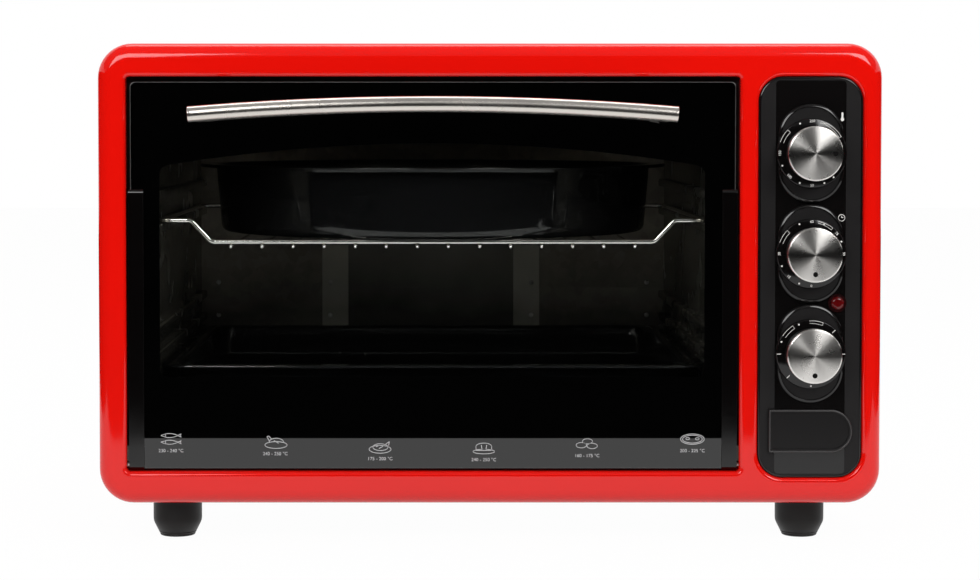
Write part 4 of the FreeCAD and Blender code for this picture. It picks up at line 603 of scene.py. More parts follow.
# %% Door pane
pane_low, pane_high = box_mm("door_glass")
block_top = box_mm("hinge_blocks")[1].z
post_low, post_high = box_mm("handle_posts")
door_middle, _, pane_waist = half_way(pane_low, pane_high)
POST_INSET, HOLE, NOTCH, PANE_CORNER, PANE_THICK, PANE_BEVEL, GROUND = 4.6, 3, 8.65, 3, 4, 0.5, 0.7
post_z = (post_high.z + post_low.z) / 2
notch_top = block_top + 0.3
pane_outline = (
    corner(pane_high.x - PANE_CORNER, pane_high.z - PANE_CORNER, PANE_CORNER, 0)
    + [(pane_high.x, notch_top), (pane_high.x - NOTCH, notch_top), (pane_high.x - NOTCH, pane_low.z),
       (pane_low.x + NOTCH, pane_low.z), (pane_low.x + NOTCH, notch_top), (pane_low.x, notch_top)]
    + corner(pane_low.x + PANE_CORNER, pane_high.z - PANE_CORNER, PANE_CORNER, 270))
bolt_holes = [arc(x, post_z, HOLE, HOLE, 360, 15, 23)
              for x in (post_low.x + POST_INSET, post_high.x - POST_INSET)]
settle("door_pane", filled([pane_outline] + bolt_holes, pane_low.y, PANE_THICK, PANE_BEVEL),
       "door_pane", "door", ["door_glass"], angle=20)


def drawn_in(step):
    """The pane's outline, a step further in."""
    return [(x + (step if x < door_middle else -step), z + (step if z < pane_waist else -step))
            for x, z in pane_outline]


# %% Ground edge of the pane
finish("ground_edge", (0.1, 0.108, 0.105), rough=0.5, drift=(0.15, 90), grain=(2200, 30))
settle("pane_edge", filled([pane_outline, drawn_in(GROUND)], pane_low.y - 0.03, 3.9, 0.3),
       "ground_edge", "door", slot="door_pane")

# %% [markdown]
# ## The black print
# The pane is printed black all over but for a window with an arched top. Black print behind
# clear glass mirrors twice, and the photo shows one clean mirror image, so the print is laid
# on the front as a glossy coat of a fiftieth of a millimetre. Its places were measured in
# the photo as if they lay at the depth of the frame, so they are moved along the line of
# sight to the depth of the glass.

# %% Black print with its arched window
finish("print_black", (0.0004, 0.0004, 0.0004), rough=0.012, drift=(0.2, 60), gloss=(0.004, 30),
       grain=(12, 0.5), shine=0.74)
WINDOW_LEFT, WINDOW_RIGHT = -219.4, 142.9
WINDOW_LOW, WINDOW_SHOULDER, WINDOW_CROWN = 110.4, 250.5, 265.6
TOP_CORNER, CORNER_DROP, LOW_CORNER = 6, 5.4, 5
EYE_AWAY, FRAME_TO_GLASS, PRINT_GAP, PRINT_THICK = 1600, 4, 0.02, 0.018


def at_depth(x, z, nearer):
    """A point that is moved along the line of sight, so that it still covers the same spot."""
    share = 1 - nearer / EYE_AWAY
    return EYE_X + (x - EYE_X) * share, EYE_Z + (z - EYE_Z) * share


half_span = (WINDOW_RIGHT - WINDOW_LEFT) / 2
rise = WINDOW_CROWN - WINDOW_SHOULDER
bow_radius = (half_span ** 2 + rise ** 2) / (2 * rise)
bow_angle = degrees(atan2(half_span - TOP_CORNER, bow_radius - rise))
window_middle = (WINDOW_LEFT + WINDOW_RIGHT) / 2
corner_level = WINDOW_SHOULDER - CORNER_DROP
window = (arc(window_middle, WINDOW_CROWN - bow_radius, bow_radius, bow_radius, -bow_angle, bow_angle, 48)
          + arc(WINDOW_RIGHT - TOP_CORNER, corner_level, TOP_CORNER, TOP_CORNER, 15, 90, 6)
          + corner(WINDOW_RIGHT - LOW_CORNER, WINDOW_LOW + LOW_CORNER, LOW_CORNER, 90)
          + corner(WINDOW_LEFT + LOW_CORNER, WINDOW_LOW + LOW_CORNER, LOW_CORNER, 180)
          + arc(WINDOW_LEFT + TOP_CORNER, corner_level, TOP_CORNER, TOP_CORNER, 270, 345, 6))
window = [at_depth(x, z, FRAME_TO_GLASS) for x, z in window]
settle("door_print", filled([drawn_in(0.15), window] + bolt_holes, pane_low.y - PRINT_GAP, PRINT_THICK),
       "print_black", "door", slot="door_pane")

# %% [markdown]
# ## The handle
# A tube bent to a flat arch, with a small rolled lip at both ends. It is swept again here
# as one even skin along the same arch, because the long triangles of the solid show as
# dents in brushed steel.

# %% Handle tube
tube_low, tube_high = box_mm("handle_bar")
tube_x, tube_y, _ = half_way(tube_low, tube_high)
TUBE = (tube_high.y - tube_low.y) / 2
WALL, RISE = 0.9, 6.7
BORE = TUBE - WALL
span = (tube_high.x - tube_low.x) / 2
slant = 0
for _ in range(7):
    reach = span - TUBE * sin(slant)
    bow = (reach ** 2 + RISE ** 2) / (2 * RISE)
    slant = asin(reach / bow)
length = bow * slant
LIP = [(0.3, BORE), (0.06, BORE + 0.12), (0, BORE + 0.4), (0.06, TUBE - 0.05), (0.25, TUBE + 0.12),
       (0.6, TUBE + 0.15), (1, TUBE + 0.08), (1.3, TUBE)]
LIP_WIDE, BORE_DEEP = 2, 9
outer = [(-length + s, r) for s, r in LIP]
outer += [(s, TUBE) for s in steps(LIP_WIDE - length, length - LIP_WIDE, 120)]
outer += [(length - s, r) for s, r in reversed(LIP)]
inner = [(s, BORE) for s in steps(length - BORE_DEEP, BORE_DEEP - length, 60)]


def around_tube(s, radius, sides=64):
    """A ring of the tube at a distance along the arch."""
    lean = s / bow
    cx, cz = tube_x + bow * sin(lean), tube_high.z - TUBE - bow + bow * cos(lean)
    ring = []
    for a in steps(0, 2 * pi, sides)[:-1]:
        up = radius * sin(a)
        ring.append((cx + up * sin(lean), tube_y + radius * cos(a), cz + up * cos(lean)))
    return ring


turned_piece("handle_tube", [around_tube(s, r) for s, r in outer + inner], "handle_steel", "door",
             closed=True, replaced=["handle_bar"], angle=50)
print("radius of the arch:", round(bow), "mm")

# %% [markdown]
# ## Baking hints along the bottom of the door
# Six small line drawings with a temperature range each are printed in pale grey: two fish,
# a drumstick, a roast, a cake on a stand, biscuits and a pizza. They are drawn here as
# strokes, each about as large as a fingernail. A 1 marks a line that runs back to its start.

# %% Baking hints
finish("print_grey", (0.55, 0.55, 0.56), rough=0.6, drift=(0.1, 300), grain=(1200, 5), shine=0)
HINT_COAT = (pane_low.y - 0.03, 0.008)
HINT_LINE, HINT_SWELL, HINT_FIGURE, HINT_DROP = 0.4, 1.2, 3.1, 7.8


def oval(cx, cz, rx, rz, count=18):
    """All of an oval, from its top."""
    return arc(cx, cz, rx, rz, 0, 360, count)[:-1]


def flipped(line, level):
    """A line mirrored in a level, and run backwards."""
    return [(x, 2 * level - z) for x, z in reversed(line)]


fish = []
for level in (2, -1.7):
    back = [(x, level + 1.15 * sin(a)) for x, a in zip(steps(-5.6, 4, 10), steps(0, pi, 10))]
    fish += [(1, back + flipped(back, level)),
             (1, [(3.7, level), (5.7, level + 0.95), (5.1, level), (5.7, level - 0.95)]),
             (0, [(-3.4, level + 0.9), (-2.9, level), (-3.4, level - 0.9)])]
drumstick = [(1, oval(0.4, -1.6, 6.2, 1.9)), (0, arc(0.6, -0.2, 4.1, 2.4, -80, 85, 10)),
             (0, [(-3.2, 0.6), (-4.6, 3), (-3.6, 3.4), (-2, 1.7)]), (0, [(-0.6, 0.9), (1.8, -0.7)])]
roast = [(1, oval(0, -1.2, 6.1, 2.2)), (1, oval(0.2, 0, 4.2, 1.9)), (0, [(2.6, 1.3), (5.2, 3.1), (4.7, 0.9)]),
         (0, [(-2.2, 0.2), (-0.4, 1.1)]), (0, [(-0.6, -0.8), (1.6, 0.5)])]
cake = [(1, oval(0, -1.9, 6, 1.3)), (0, arc(0, 0.9, 4.4, 1.9, -90, 90, 12)),
        (0, [(-4.4, 0.9), (-4.2, -1.3), (4.2, -1.3), (4.4, 0.9)]),
        (0, [(-1.4, 1.7), (-1, -0.6), (1.2, -0.6), (1.6, 1.7)])]
biscuits = [(1, oval(-3.2, -0.6, 2.9, 1.5)), (1, oval(2.8, -1, 2.9, 1.5)), (1, oval(0.2, 1.6, 2.8, 1.4))]
pizza = [(1, oval(0, 0, 6.6, 2.9)), (1, oval(0, 0, 5.5, 2.2)), (1, oval(-2.6, 0.3, 1.1, 0.6, 10)),
         (1, oval(2.7, 0.2, 1.1, 0.6, 10))]

HINTS = ((172, 438, fish, "230 - 240 °C"), (276, 441, drumstick, "240 - 250 °C"),
         (380.5, 446, roast, "175 - 200 °C"), (484, 447, cake, "240 - 250 °C"),
         (587, 443, biscuits, "160 - 175 °C"), (692, 438, pizza, "200 - 225 °C"))
MM_PER_PIXEL = 0.6647
EYE_PIXEL_X, EYE_PIXEL_Y = 432, 120
work = bmesh.new()
for across, down, drawing, figures in HINTS:
    x, z = at_depth(EYE_X + (across - EYE_PIXEL_X) * MM_PER_PIXEL,
                    EYE_Z - (down - EYE_PIXEL_Y) * MM_PER_PIXEL, -5)
    for closed, line in drawing:
        swollen = [(x + dx * HINT_SWELL, z + dz * HINT_SWELL) for dx, dz in line]
        stroke(work, swollen, HINT_LINE, HINT_COAT, closed)
    letters(work, figures, HINT_FIGURE, x, z - HINT_DROP, HINT_COAT, apart=1.02)
settle("baking_hints", work, "print_grey", "door", slot="door_pane")

# %% [markdown]
# ## Dial rings
# Each control stands on an oval mound, and a dial ring with a slightly drawn-in side lies
# on it. The ring is moulded, so every edge is a little round. It is turned from a profile.

# %% Dial rings
dial_low, dial_high = box_mm("timer_dial")
dial_x = half_way(dial_low, dial_high)[0]
dial_face, mound_face = dial_low.y, dial_high.y
dial_middles = {name: half_way(*box_mm(f"{name}_dial"))[2] for name in CONTROLS}
RING_PROFILE = [(5.6, 0), (23.3, 0), (23.3, 0.2), (22.78, 2.45), (22.62, 2.68), (22.36, 2.8), (5.6, 2.8)]
for name in CONTROLS:
    turned_piece(f"{name}_ring", turned(RING_PROFILE, (dial_x, mound_face, dial_middles[name]), "Y"),
                 "gloss_inlay", closed=True, replaced=[f"{name}_dial"])

# %% [markdown]
# ## Beads on the mouldings
# Moulded edges end in a thin raised bead: round the two ends of every mound, round the whole
# panel and round the badge. A bead is a narrow section with a steep outer side and a slope
# inwards, which catches a line of light, and it is led along a path on the face.

# %% Mound beads
MOUND_HALF, MOUND_TALL = 21.5, 32.5
MOUND_SECTION = [(-0.95, -0.3), (-0.95, 0.62), (-0.85, 0.86), (-0.6, 0.94), (-0.4, 0.88), (0.0, 0.71),
                 (0.4, 0.53), (0.72, 0.37), (0.86, 0.2), (0.9, -0.3)]
bead_radius = MOUND_HALF - 0.95
work = bmesh.new()
for name in CONTROLS:
    for side, start in ((1, -90), (-1, 90)):
        hub = dial_middles[name] + side * (MOUND_TALL - MOUND_HALF)
        bead(work, arc(dial_x, hub, bead_radius, bead_radius, start, start + 180, 48), MOUND_SECTION, mound_face)
settle("mound_beads", work, "gloss_inlay", slot="panel_plastic", angle=60)

# %% Bead round the control panel
EDGE_SECTION = [(-0.75, -0.2), (-0.7, 0.3), (-0.55, 0.42), (-0.4, 0.38), (0.0, 0.2), (0.3, 0.05), (0.36, -0.2)]
PANEL_LEFT, PANEL_RIGHT, PANEL_LOW, PANEL_HIGH, PANEL_CORNER = 178.25, 245.75, 44.75, 309.25, 15.8
work = bmesh.new()
bead(work, round_box(PANEL_LEFT, PANEL_RIGHT, PANEL_LOW, PANEL_HIGH, PANEL_CORNER, 12), EDGE_SECTION,
     box_mm("panel_strip")[0].y, closed=True)
settle("panel_bead", work, "gloss_inlay", slot="panel_plastic", angle=60)

# %% Rim of the badge
RIM_SECTION = [(-0.75, -0.2), (-0.7, 0.12), (-0.5, 0.3), (-0.2, 0.36), (0.15, 0.28), (0.45, 0.1), (0.5, -0.2)]
RIM_INSET = 0.55
badge_low, badge_high = box_mm("badge_plate")
left, right = badge_low.x + RIM_INSET, badge_high.x - RIM_INSET
low, high = badge_low.z + RIM_INSET, badge_high.z - RIM_INSET
half = (high - low) / 2
badge_path = (arc(right - half, low + half, half, half, 0, 180, 28) + corner(left + 1, low + 1, 1, 180)
              + corner(left + 1, high - 1, 1, 270))
finish("rim_grey", (0.03, 0.028, 0.028), rough=0.25, drift=(0.1, 90), grain=(2200, 10))
work = bmesh.new()
bead(work, badge_path, RIM_SECTION, badge_low.y, closed=True)
settle("badge_rim", work, "rim_grey", slot="panel_plastic", angle=60)

# %% [markdown]
# ## Spun caps with a crown
# The caps aren't quite flat: spinning leaves a crown of about a millimetre, so their lower
# half mirrors the table and their upper half the ceiling, and a narrow bevel round the edge
# catches a ring of light. The pointer is a small black dish near the edge. It belongs to
# the knob, so it rides on the control and turns.

# %% Caps and pointers
POINTERS = {"thermostat": (1, 0), "timer": (0, -1), "selector": (0, -1)}
POINTER_PLACE, CROWN, CROWN_EDGE, CROWN_OVER = 12.6, 1.1, 17.2, 0.6
cap_low, cap_high = box_mm("timer_cap")
cap_radius = (cap_high.x - cap_low.x) / 2
crown_top = cap_high.y - cap_low.y + CROWN_OVER
CAP_PROFILE = [(CROWN_EDGE, 0), (cap_radius, 0), (cap_radius, 3.9), (17.87, 4), (17.78, 4.08), (17.7, 4.14),
               (CROWN_EDGE, 4.49)]
CAP_PROFILE += [(r, crown_top - CROWN * (r / CROWN_EDGE) ** 2)
                for r in (17.08, 16.8, 16.3, 15, 13.5, 11, 8.5, 6, 4, 2, 0.8, 0.3)]
DISH_PROFILE = [(1.65, 4), (1.65, 5.14), (1.5, 5.2), (1.1, 5.22), (0.6, 5.22), (0.1, 5.22)]
for name in CONTROLS:
    middle = dial_middles[name]
    turned_piece(f"{name}_crowned_cap", turned(CAP_PROFILE, (dial_x, cap_high.y, middle), "Y", 128),
                 f"spun_metal_{name}", f"{name}_control", lids=(-1,), slot="spun_metal", replaced=[f"{name}_cap"])
    across, up = POINTERS[name]
    dish = (dial_x + across * POINTER_PLACE, cap_high.y, middle + up * POINTER_PLACE)
    turned_piece(f"{name}_pointer", turned(DISH_PROFILE, dish, "Y", 32), "mark_black", f"{name}_control",
                 lids=(-1,), slot="knob_plastic")

# %% [markdown]
# ## Marks on the dials
# The dials don't turn; the knobs do. Each dial carries plain figures round its knob, dots
# between them, and thin wedges that show what rises. The marks are printed, so they are
# only a few hundredths of a millimetre thick.

# %% Dial marks
finish("mark_white", (0.82, 0.8, 0.77), rough=0.45, drift=(0.08, 400), grain=(1500, 5))
MARK_RADIUS, MARK_THICK, MARK_LINE, FIGURE, DOT, BAR_HALF, BAR_WIDE = 21.2, 0.03, 0.26, 2.4, 0.62, 1.3, 0.5
MARK_COAT = (dial_face - 0.005, MARK_THICK)


def around(middle, clock, out=0):
    """The point of a dial at an hour of the clock, and some way out from the ring of marks."""
    turn = radians(clock * 30)
    return dial_x + (MARK_RADIUS + out) * sin(turn), middle + (MARK_RADIUS + out) * cos(turn)


def wedge(work, middle, start, end, thin, wide):
    """Two arcs that part from each other, with a short bar at the wide end."""
    upper, lower = [], []
    for clock, gap in zip(steps(start, end, 10), steps(thin, wide, 10)):
        upper.append(around(middle, clock, gap / 2))
        lower.append(around(middle, clock, -gap / 2))
    for line in (upper, lower, [upper[-1], lower[-1]]):
        stroke(work, line, MARK_LINE, MARK_COAT)


def dial_marks(name, figures, dots, wedges, bars=()):
    """All marks of one dial as one piece; every place is an hour of the clock."""
    middle, work = dial_middles[name], bmesh.new()
    for clock, text in figures:
        turn = clock * 30
        on_its_head = 100 < turn % 360 < 260
        letters(work, text, FIGURE, *around(middle, clock), MARK_COAT, turn + 180 * on_its_head, bold=0.03)
    for clock in dots:
        front_outline(work, oval(*around(middle, clock), DOT, DOT, 12), MARK_COAT)
    for values in wedges:
        wedge(work, middle, *values)
    for clock in bars:
        stroke(work, [around(middle, clock, out) for out in (-BAR_HALF, BAR_HALF)], BAR_WIDE, MARK_COAT)
    settle(f"{name}_marks", work, "mark_white", slot="gloss_inlay")


LOW_WEDGE = (9.65, 10.45, 2.2, 2.4)
dial_marks("thermostat", ((6, "50"), (7.5, "100"), (9, "150"), (12, "250")),
           (5.25, 6.75, 8.25, 11.25, 12.75, 4.6), ((12.5, 14, 1, 1.6), LOW_WEDGE))
dial_marks("timer", ((6, "0"), (7.5, "15"), (9, "30"), (12, "60"), (13.7, "75"), (15, "90")),
           (6.75, 8.25, 11.25, 12.75, 14.25), ((12.4, 13.3, 1.2, 1.6), LOW_WEDGE))
dial_marks("selector", (), (6, 9.75, 11.25), ((11.9, 12.7, 1.6, 1.9), (10.1, 10.9, 2.2, 2.2)), (9, 7.5, 15, 13.5))

# %% [markdown]
# ## Small signs beside the dials
# Beside the upper dial a thermometer is printed, and beside the middle one a clock. Each is
# as large as a lentil, so a stem with a bulb and a ring with two hands are enough. Where two
# coats lap, one stands out by a few thousandths of a millimetre, so that they don't flicker.

# %% Small signs
strip_face = box_mm("panel_strip")[0].y - 0.005
under, over = (strip_face, MARK_THICK), (strip_face - 0.002, MARK_THICK)
THERMOMETER, CLOCK = (232.6, 283.4), (232.5, 216.6)
work = bmesh.new()
x, z = THERMOMETER
front_outline(work, oval(x, z - 1.7, 1.15, 1.3, 16), under)
front_outline(work, round_box(x - 0.62, x + 0.62, z - 1.7, z + 2.9, 0.55, 5), over)
x, z = CLOCK
stroke(work, oval(x, z, 2.15, 2.15, 24), 0.45, under, closed=True)
stroke(work, [(x, z + 1.3), (x, z), (x + 1.0, z + 0.35)], 0.4, over)
settle("panel_signs", work, "mark_white", slot="gloss_inlay")

# %% [markdown]
# ## The round pan
# The pan is spun from steel and enamelled. Its rim is rolled over so that it isn't sharp,
# and the enamel rounds every corner. A lathe profile with small arcs in it, turned round
# its axis, gives all that with few points.

# %% Round pan
pan_low, pan_high = box_mm("round_pan")
pan_x, pan_y, _ = half_way(pan_low, pan_high)
PAN_PROFILE = [
    (60, 0), (120, 0), (149.6, 0), (151.6, 0.35), (153.2, 1.35), (154.25, 2.9), (154.7, 4.9), (155.0, 8),
    (156.6, 27), (158.1, 45), (158.3, 46.9), (158.9, 47.7), (160.2, 48), (167.2, 47.8), (168.3, 47.1),
    (169.2, 46.8), (169.85, 47.2), (170, 48), (169.6, 48.7), (168.6, 49), (166, 48.95), (161.2, 48.85),
    (158.6, 48.6), (157.6, 47.7), (157.1, 45), (155.6, 27), (154, 8), (153.6, 5.2), (152.6, 3.1),
    (151, 1.6), (149.2, 0.9), (144, 0.8), (120, 0.8), (60, 0.8)]
turned_piece("roasting_pan", turned(PAN_PROFILE, (pan_x, pan_y, pan_low.z), "Z", 144),
             "black_enamel", "rack", lids=(0, -1), replaced=["round_pan"], angle=50)

# %% [markdown]
# ## The square tray
# A tray is pressed from one sheet: a shallow tub with round corners, a flange that slides
# on the rails, and a small rolled edge. Rounded rectangles of one number of points, each a
# little larger or higher than the last, are joined like the hoops of a barrel.

# %% Square tray
tray_low, tray_high = box_mm("square_tray")
tray_x, tray_y, _ = half_way(tray_low, tray_high)
half_x = (tray_high.x - tray_low.x) / 2
half_y = (tray_high.y - tray_low.y) / 2
deep = tray_high.z - tray_low.z


def hoop(inset, radius, height):
    """A rounded rectangle round the tray's middle, some way in from its flange."""
    outline = round_box(-half_x + inset, half_x - inset, -half_y + inset, half_y - inset, radius, 8)
    return [(tray_x + x, tray_y + y, tray_low.z + height) for x, y in outline]


TRAY_HOOPS = (
    (40, 4, 0), (18.6, 10.4, 0), (16, 13, 0.5), (13.8, 15.2, 1.9), (12.4, 16.6, 4.2), (12, 17, 6.8),
    (12, 17, deep - 2.6), (11.4, 17.6, deep - 1.2), (10.4, 18.6, deep - 0.8), (6, 19, deep - 0.8),
    (2, 19, deep - 0.8), (0.9, 19.4, deep - 1.9), (0.2, 20, deep - 1.7), (0, 20, deep - 0.9),
    (0.4, 19.8, deep - 0.15), (1.2, 19.4, deep), (6, 19, deep), (10.6, 18.4, deep), (12, 17, deep - 0.6),
    (12.8, 16.4, deep - 2.4), (12.8, 16.4, 7), (13.2, 16, 4.6), (14.5, 14.7, 2.5), (16.5, 12.7, 1.2),
    (18.8, 10.4, 0.8), (40, 4, 0.8))
turned_piece("baking_tray", [hoop(*values) for values in TRAY_HOOPS], "black_enamel", "tray",
             lids=(0, -1), replaced=["square_tray"], angle=50)

# %% [markdown]
# ## Wire tips of the rack
# The cross wires are welded under the frame wire and stand a millimetre past it. The cut
# ends are rounded by the plating, so each of them catches the lamps as a bright dot. They
# are small domes, squeezed and swollen a little differently, as plating leaves them.

# %% Rack tips
rack_low, rack_high = box_mm("wire_rack")
WIRES, PITCH, WIRE = 14, 21, 1.2
work = bmesh.new()
for end, y in ((-1, rack_low.y), (1, rack_high.y)):
    for i in range(WIRES):
        x = door_middle + PITCH * (i - (WIRES - 1) / 2)
        swell = 1 + 0.1 * sin(i * 2.4 + end)
        dome = ((1.02, -0.8), (1.12 * swell, -0.3), (1.12 * swell, 0.1), (1, 0.55), (0.62, 0.95), (0.2, 1.12))
        profile = [(WIRE * wide, -end * out) for wide, out in dome]
        bridge(work, turned(profile, (x, y, rack_low.z + WIRE), "Y", 16), lids=(-1,))
settle("rack_tips", work, "rack_chrome", "rack", angle=80)

# %% [markdown]
# ## Feet
# The feet are moulded, straight above and drawn in towards the table, where two fine rings
# keep them from slipping. They are turned from a profile, one at each corner.

# %% Feet
FOOT_PROFILE = [(5.5, 8), (5.5, 0.3), (5.9, 0), (11, 0), (11.6, 0.3), (12.0, 1.1), (11.8, 1.4), (12.2, 1.7),
                (12.7, 2.5), (12.5, 2.8), (12.95, 3.1), (15.55, 8.3), (16.1, 9.7), (16.35, 11.2), (16.4, 12.6),
                (16.4, 27.9), (2.7, 27.9)]
for name in ("foot_front_left", "foot_front_right", "foot_rear_left", "foot_rear_right"):
    x, y, _ = half_way(*box_mm(name))
    turned_piece(f"{name}_turned", turned(FOOT_PROFILE, (x, y, 0), "Z", 64), "foot_plastic",
                 closed=True, replaced=[name], angle=40)

# %% [markdown]
# ## The seal round the mouth, a sheet of painted shade
# Between the door and the mouth of the liner lies a thin black sheet shaped as a seal. It is painted shade: it makes
# the narrow gap round the glass dark. A flat outline with the mouth cut out of it is enough, because only its front
# shows.

# %% Mouth seal as painted shade
finish("seal_shade_black", (0.004, 0.0036, 0.0036), rough=0.6, drift=(0.15, 60), grain=(1500, 30),
       shine=0.2)
roof_low = box_mm("cavity_roof")[0]
SEAL_LEFT, SEAL_RIGHT, SEAL_TOP, SEAL_THICK = -242, 166.5, 311, 0.4
MOUTH_LEFT, MOUTH_RIGHT, SEAL_LAP = -226, 150.5, 1
mouth_top = roof_low.z - SEAL_LAP
seal_outline = [(SEAL_LEFT, notch_top), (SEAL_LEFT, SEAL_TOP), (SEAL_RIGHT, SEAL_TOP), (SEAL_RIGHT, notch_top),
                (MOUTH_RIGHT, notch_top), (MOUTH_RIGHT, mouth_top), (MOUTH_LEFT, mouth_top),
                (MOUTH_LEFT, notch_top)]
settle("mouth_seal_shade", filled([seal_outline], roof_low.y - SEAL_THICK, SEAL_THICK), "seal_shade_black",
       slot="black_steel")

# %% [markdown]
# ## The cover plate on the back wall
# In the middle of the back wall lies a plate that covers the seam of the liner, with a
# narrow lap along each side and rivets through both. They are brushed from top to bottom,
# so they mirror the window of the door a little more than the wall round them does.

# %% Back plates
BRUSHED = {"gloss": (0.08, 25), "grain": (900, 30), "stretch": (1, 1, 0.02)}
# Both sheets carry painted shade, darker towards the floor of the oven.
finish("plate_steel", (0.42, 0.4, 0.355), rough=0.36, metal=0.8, drift=(0.1, 14),
       shade_below=((0.045, 0.042, 0.036), 0.14, 0.205, 0.97), **BRUSHED)
finish("lap_steel", (0.9, 0.86, 0.75), rough=0.4, metal=0.45, drift=(0.1, 30),
       shade_below=((0.2, 0.19, 0.165), 0.14, 0.215, 0.95), **BRUSHED)
back_low = box_mm("cavity_back")[0]
PLATE_LEFT, PLATE_RIGHT, PLATE_TOP, PLATE_RAISED, PLATE_THICK = -126.5, 48, 238, 4, 0.5
LAP_WIDE, LAP_OUT, LAP_LONGER = 21, 0.5, 1
plate_bottom = back_low.z + PLATE_RAISED


def back_sheet(name, look, left, right, low, high, layer):
    """A thin sheet with round corners on the back wall, in a layer counted from the wall."""
    outline = round_box(left, right, low, high, 1.5)
    settle(name, filled([outline], back_low.y - PLATE_THICK * layer, PLATE_THICK, 0.1), look, slot="liner_steel")


back_sheet("back_plate", "plate_steel", PLATE_LEFT, PLATE_RIGHT, plate_bottom, PLATE_TOP, 1)
for name, x in (("back_lap_left", PLATE_LEFT - LAP_OUT), ("back_lap_right", PLATE_RIGHT - LAP_WIDE + LAP_OUT)):
    back_sheet(name, "lap_steel", x, x + LAP_WIDE, plate_bottom - LAP_LONGER, PLATE_TOP + LAP_LONGER, 2)
RIVET = [(1.9, 0), (1.9, 0.3), (1.5, 0.9), (0.8, 1.25), (0.1, 1.35)]
RIVET_INSET, WALL_RIVETS, RIVET_ROWS = 6, (-211, 135.5), (123.5, 150)
work = bmesh.new()
for x in (PLATE_LEFT + RIVET_INSET, PLATE_RIGHT - RIVET_INSET, *WALL_RIVETS):
    on_plate = PLATE_LEFT < x < PLATE_RIGHT
    for z in RIVET_ROWS:
        bridge(work, turned(RIVET, (x, back_low.y - PLATE_THICK * 2 * on_plate, z), "Y", 20), lids=(-1,))
settle("liner_rivets", work, "fastener_steel", angle=60)

# %% [markdown]
# ## The table
# The oven stands on a white table in front of white walls, and the photo shows only a trace
# of its shadow. So the camera sees the table as nearly pure white and reflections see it
# quite white. Only the light that it gives back from below comes from its lit surface.

# %% Table


def plain_material(name, tone, strength=0):
    """A dull grey studio surface, with its own light where strength is above zero."""
    material = bpy.data.materials.new(name)
    material.use_nodes = True
    shader = material.node_tree.nodes["Principled BSDF"]
    for socket, value in (("Base Color", (tone, tone, tone, 1)), ("Roughness", 0.8), ("Specular IOR Level", 0),
                          ("Emission Color", (tone, tone, tone, 1)), ("Emission Strength", strength)):
        shader.inputs[socket].default_value = value
    return material


def studio_sheet(name, corners, material):
    """A flat studio surface between four corners, in metres."""
    mesh = bpy.data.meshes.new(name)
    mesh.from_pydata(corners, [], [(0, 1, 2, 3)])
    mesh.materials.append(material)
    sheet = placed(name, mesh)
    return sheet


def level_sheet(name, left, right, near, far, z, material):
    """A level studio surface."""
    return studio_sheet(name, [(left, near, z), (right, near, z), (right, far, z), (left, far, z)], material)


def looked_at(tree, share=1):
    """1 for rays that come from a mirror or glass, and a share for those of the camera."""
    path = add(tree, "LightPath").outputs
    by_eye = maths(tree, "MULTIPLY", path["Is Camera Ray"], share)
    return maths(tree, "MAXIMUM", by_eye, maths(tree, "MAXIMUM", path["Is Glossy Ray"], path["Is Transmission Ray"]))


table_white = plain_material("table_white", 0.86)
TABLE_SEEN, FAR = 0.975, 6
tree = table_white.node_tree
lit = tree.nodes["Principled BSDF"].outputs[0]
white = add(tree, "Emission", {"Color": (1, 1, 1, 1), "Strength": 1}).outputs[0]
blend = add(tree, "MixShader", {0: looked_at(tree, TABLE_SEEN), 1: lit, 2: white})
tree.links.new(blend.outputs[0], tree.nodes["Material Output"].inputs["Surface"])
level_sheet("floor", -FAR, FAR, -FAR, FAR, 0, table_white)
print("table:", 2 * FAR, "m wide, seen at", TABLE_SEEN)

# %% [markdown]
# ## Cards for reflections
# A photographer hides the room from a glossy door with black cards behind the camera, at both
# sides and on the floor round the table. The camera doesn't see these cards, only reflections
# do, and the front one also takes away soft light. The ceiling above them slopes and is pale.

# %% Cards
card_black = plain_material("card_black", 0.004)
card_pale = plain_material("card_pale", 0.12, strength=1)
TABLE_EDGE, TABLE_SIDE = -0.689, 0.95
CARD_FAR, CARD_BACK, CARD_HALF, CARD_LIFT, CARD_TOP = -2.6, 4, 4.6, 0.002, 1.15
CEILING_BACK, CEILING_TOP = 1, 2.5


def upright(name, start, end):
    """A standing black card between two points of the floor."""
    return studio_sheet(name, [(*start, 0), (*end, 0), (*end, CARD_TOP), (*start, CARD_TOP)], card_black)


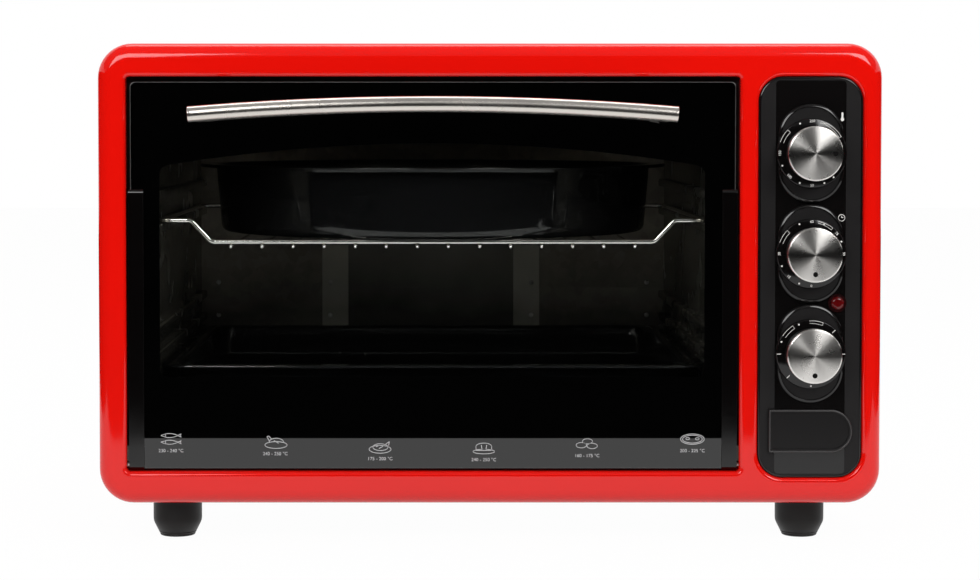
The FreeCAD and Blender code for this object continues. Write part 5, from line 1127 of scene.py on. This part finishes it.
near_left, near_right = (-CARD_HALF, CARD_FAR), (CARD_HALF, CARD_FAR)
cards = [
    level_sheet("card_floor", -CARD_HALF, CARD_HALF, CARD_FAR, TABLE_EDGE, CARD_LIFT, card_black),
    level_sheet("card_floor_left", -CARD_HALF, -TABLE_SIDE, TABLE_EDGE, CARD_BACK, CARD_LIFT, card_black),
    level_sheet("card_floor_right", TABLE_SIDE, CARD_HALF, TABLE_EDGE, CARD_BACK, CARD_LIFT, card_black),
    upright("card_front", near_left, near_right),
    upright("card_left", near_left, (-CARD_HALF, CARD_BACK)),
    upright("card_right", near_right, (CARD_HALF, CARD_BACK)),
    studio_sheet("card_ceiling", [(*near_left, CARD_TOP), (*near_right, CARD_TOP),
                                  (CARD_HALF, CEILING_BACK, CEILING_TOP), (-CARD_HALF, CEILING_BACK, CEILING_TOP)],
                 card_pale)]
for card in cards:
    card.visible_camera = False
    card.visible_diffuse = card.name == "card_front"
    card.visible_shadow = False
print("cards:", len(cards))

# %% [markdown]
# ## Lamps and the white room
# Two soft lamps high in front make the highlights on the rolled edge and the fans on the
# caps, and one above lights the top. The room is white to the eye and in reflections, and
# dimmer for the light that it sheds.

# %% Lamps and world


def soft_lamp(name, place, wide, high, power):
    """A rectangular soft lamp at a place, aimed at the middle of the oven."""
    data = bpy.data.lights.new(name, "AREA")
    data.shape, data.size, data.size_y, data.energy = "RECTANGLE", wide, high, power
    lamp = placed(name, data)
    lamp.location = place
    lamp.rotation_euler = (Vector(OVEN_MIDDLE) - Vector(place)).to_track_quat("-Z", "Y").to_euler()
    print(name, power, "W")


OVEN_MIDDLE = (0, 0, 0.17)
soft_lamp("lamp_left", (-0.8, -1.6, 1.05), 0.97, 0.7, 12)
soft_lamp("lamp_right", (0.95, -1.5, 1.15), 0.92, 0.7, 13.5)
soft_lamp("lamp_top", (0, 0.3, 2.3), 1.6, 1.2, 23)

world = bpy.data.worlds.new("white_room")
bpy.context.scene.world = world
world.use_nodes = True
tree = world.node_tree
SOFT_LEVEL = 0.58
level = maths(tree, "MULTIPLY_ADD", looked_at(tree), 1 - SOFT_LEVEL, SOFT_LEVEL)
tree.links.new(level, tree.nodes["Background"].inputs["Strength"])
tree.nodes["Background"].inputs["Color"].default_value = (1, 1, 1, 1)
bpy.context.scene.view_settings.view_transform = "Standard"
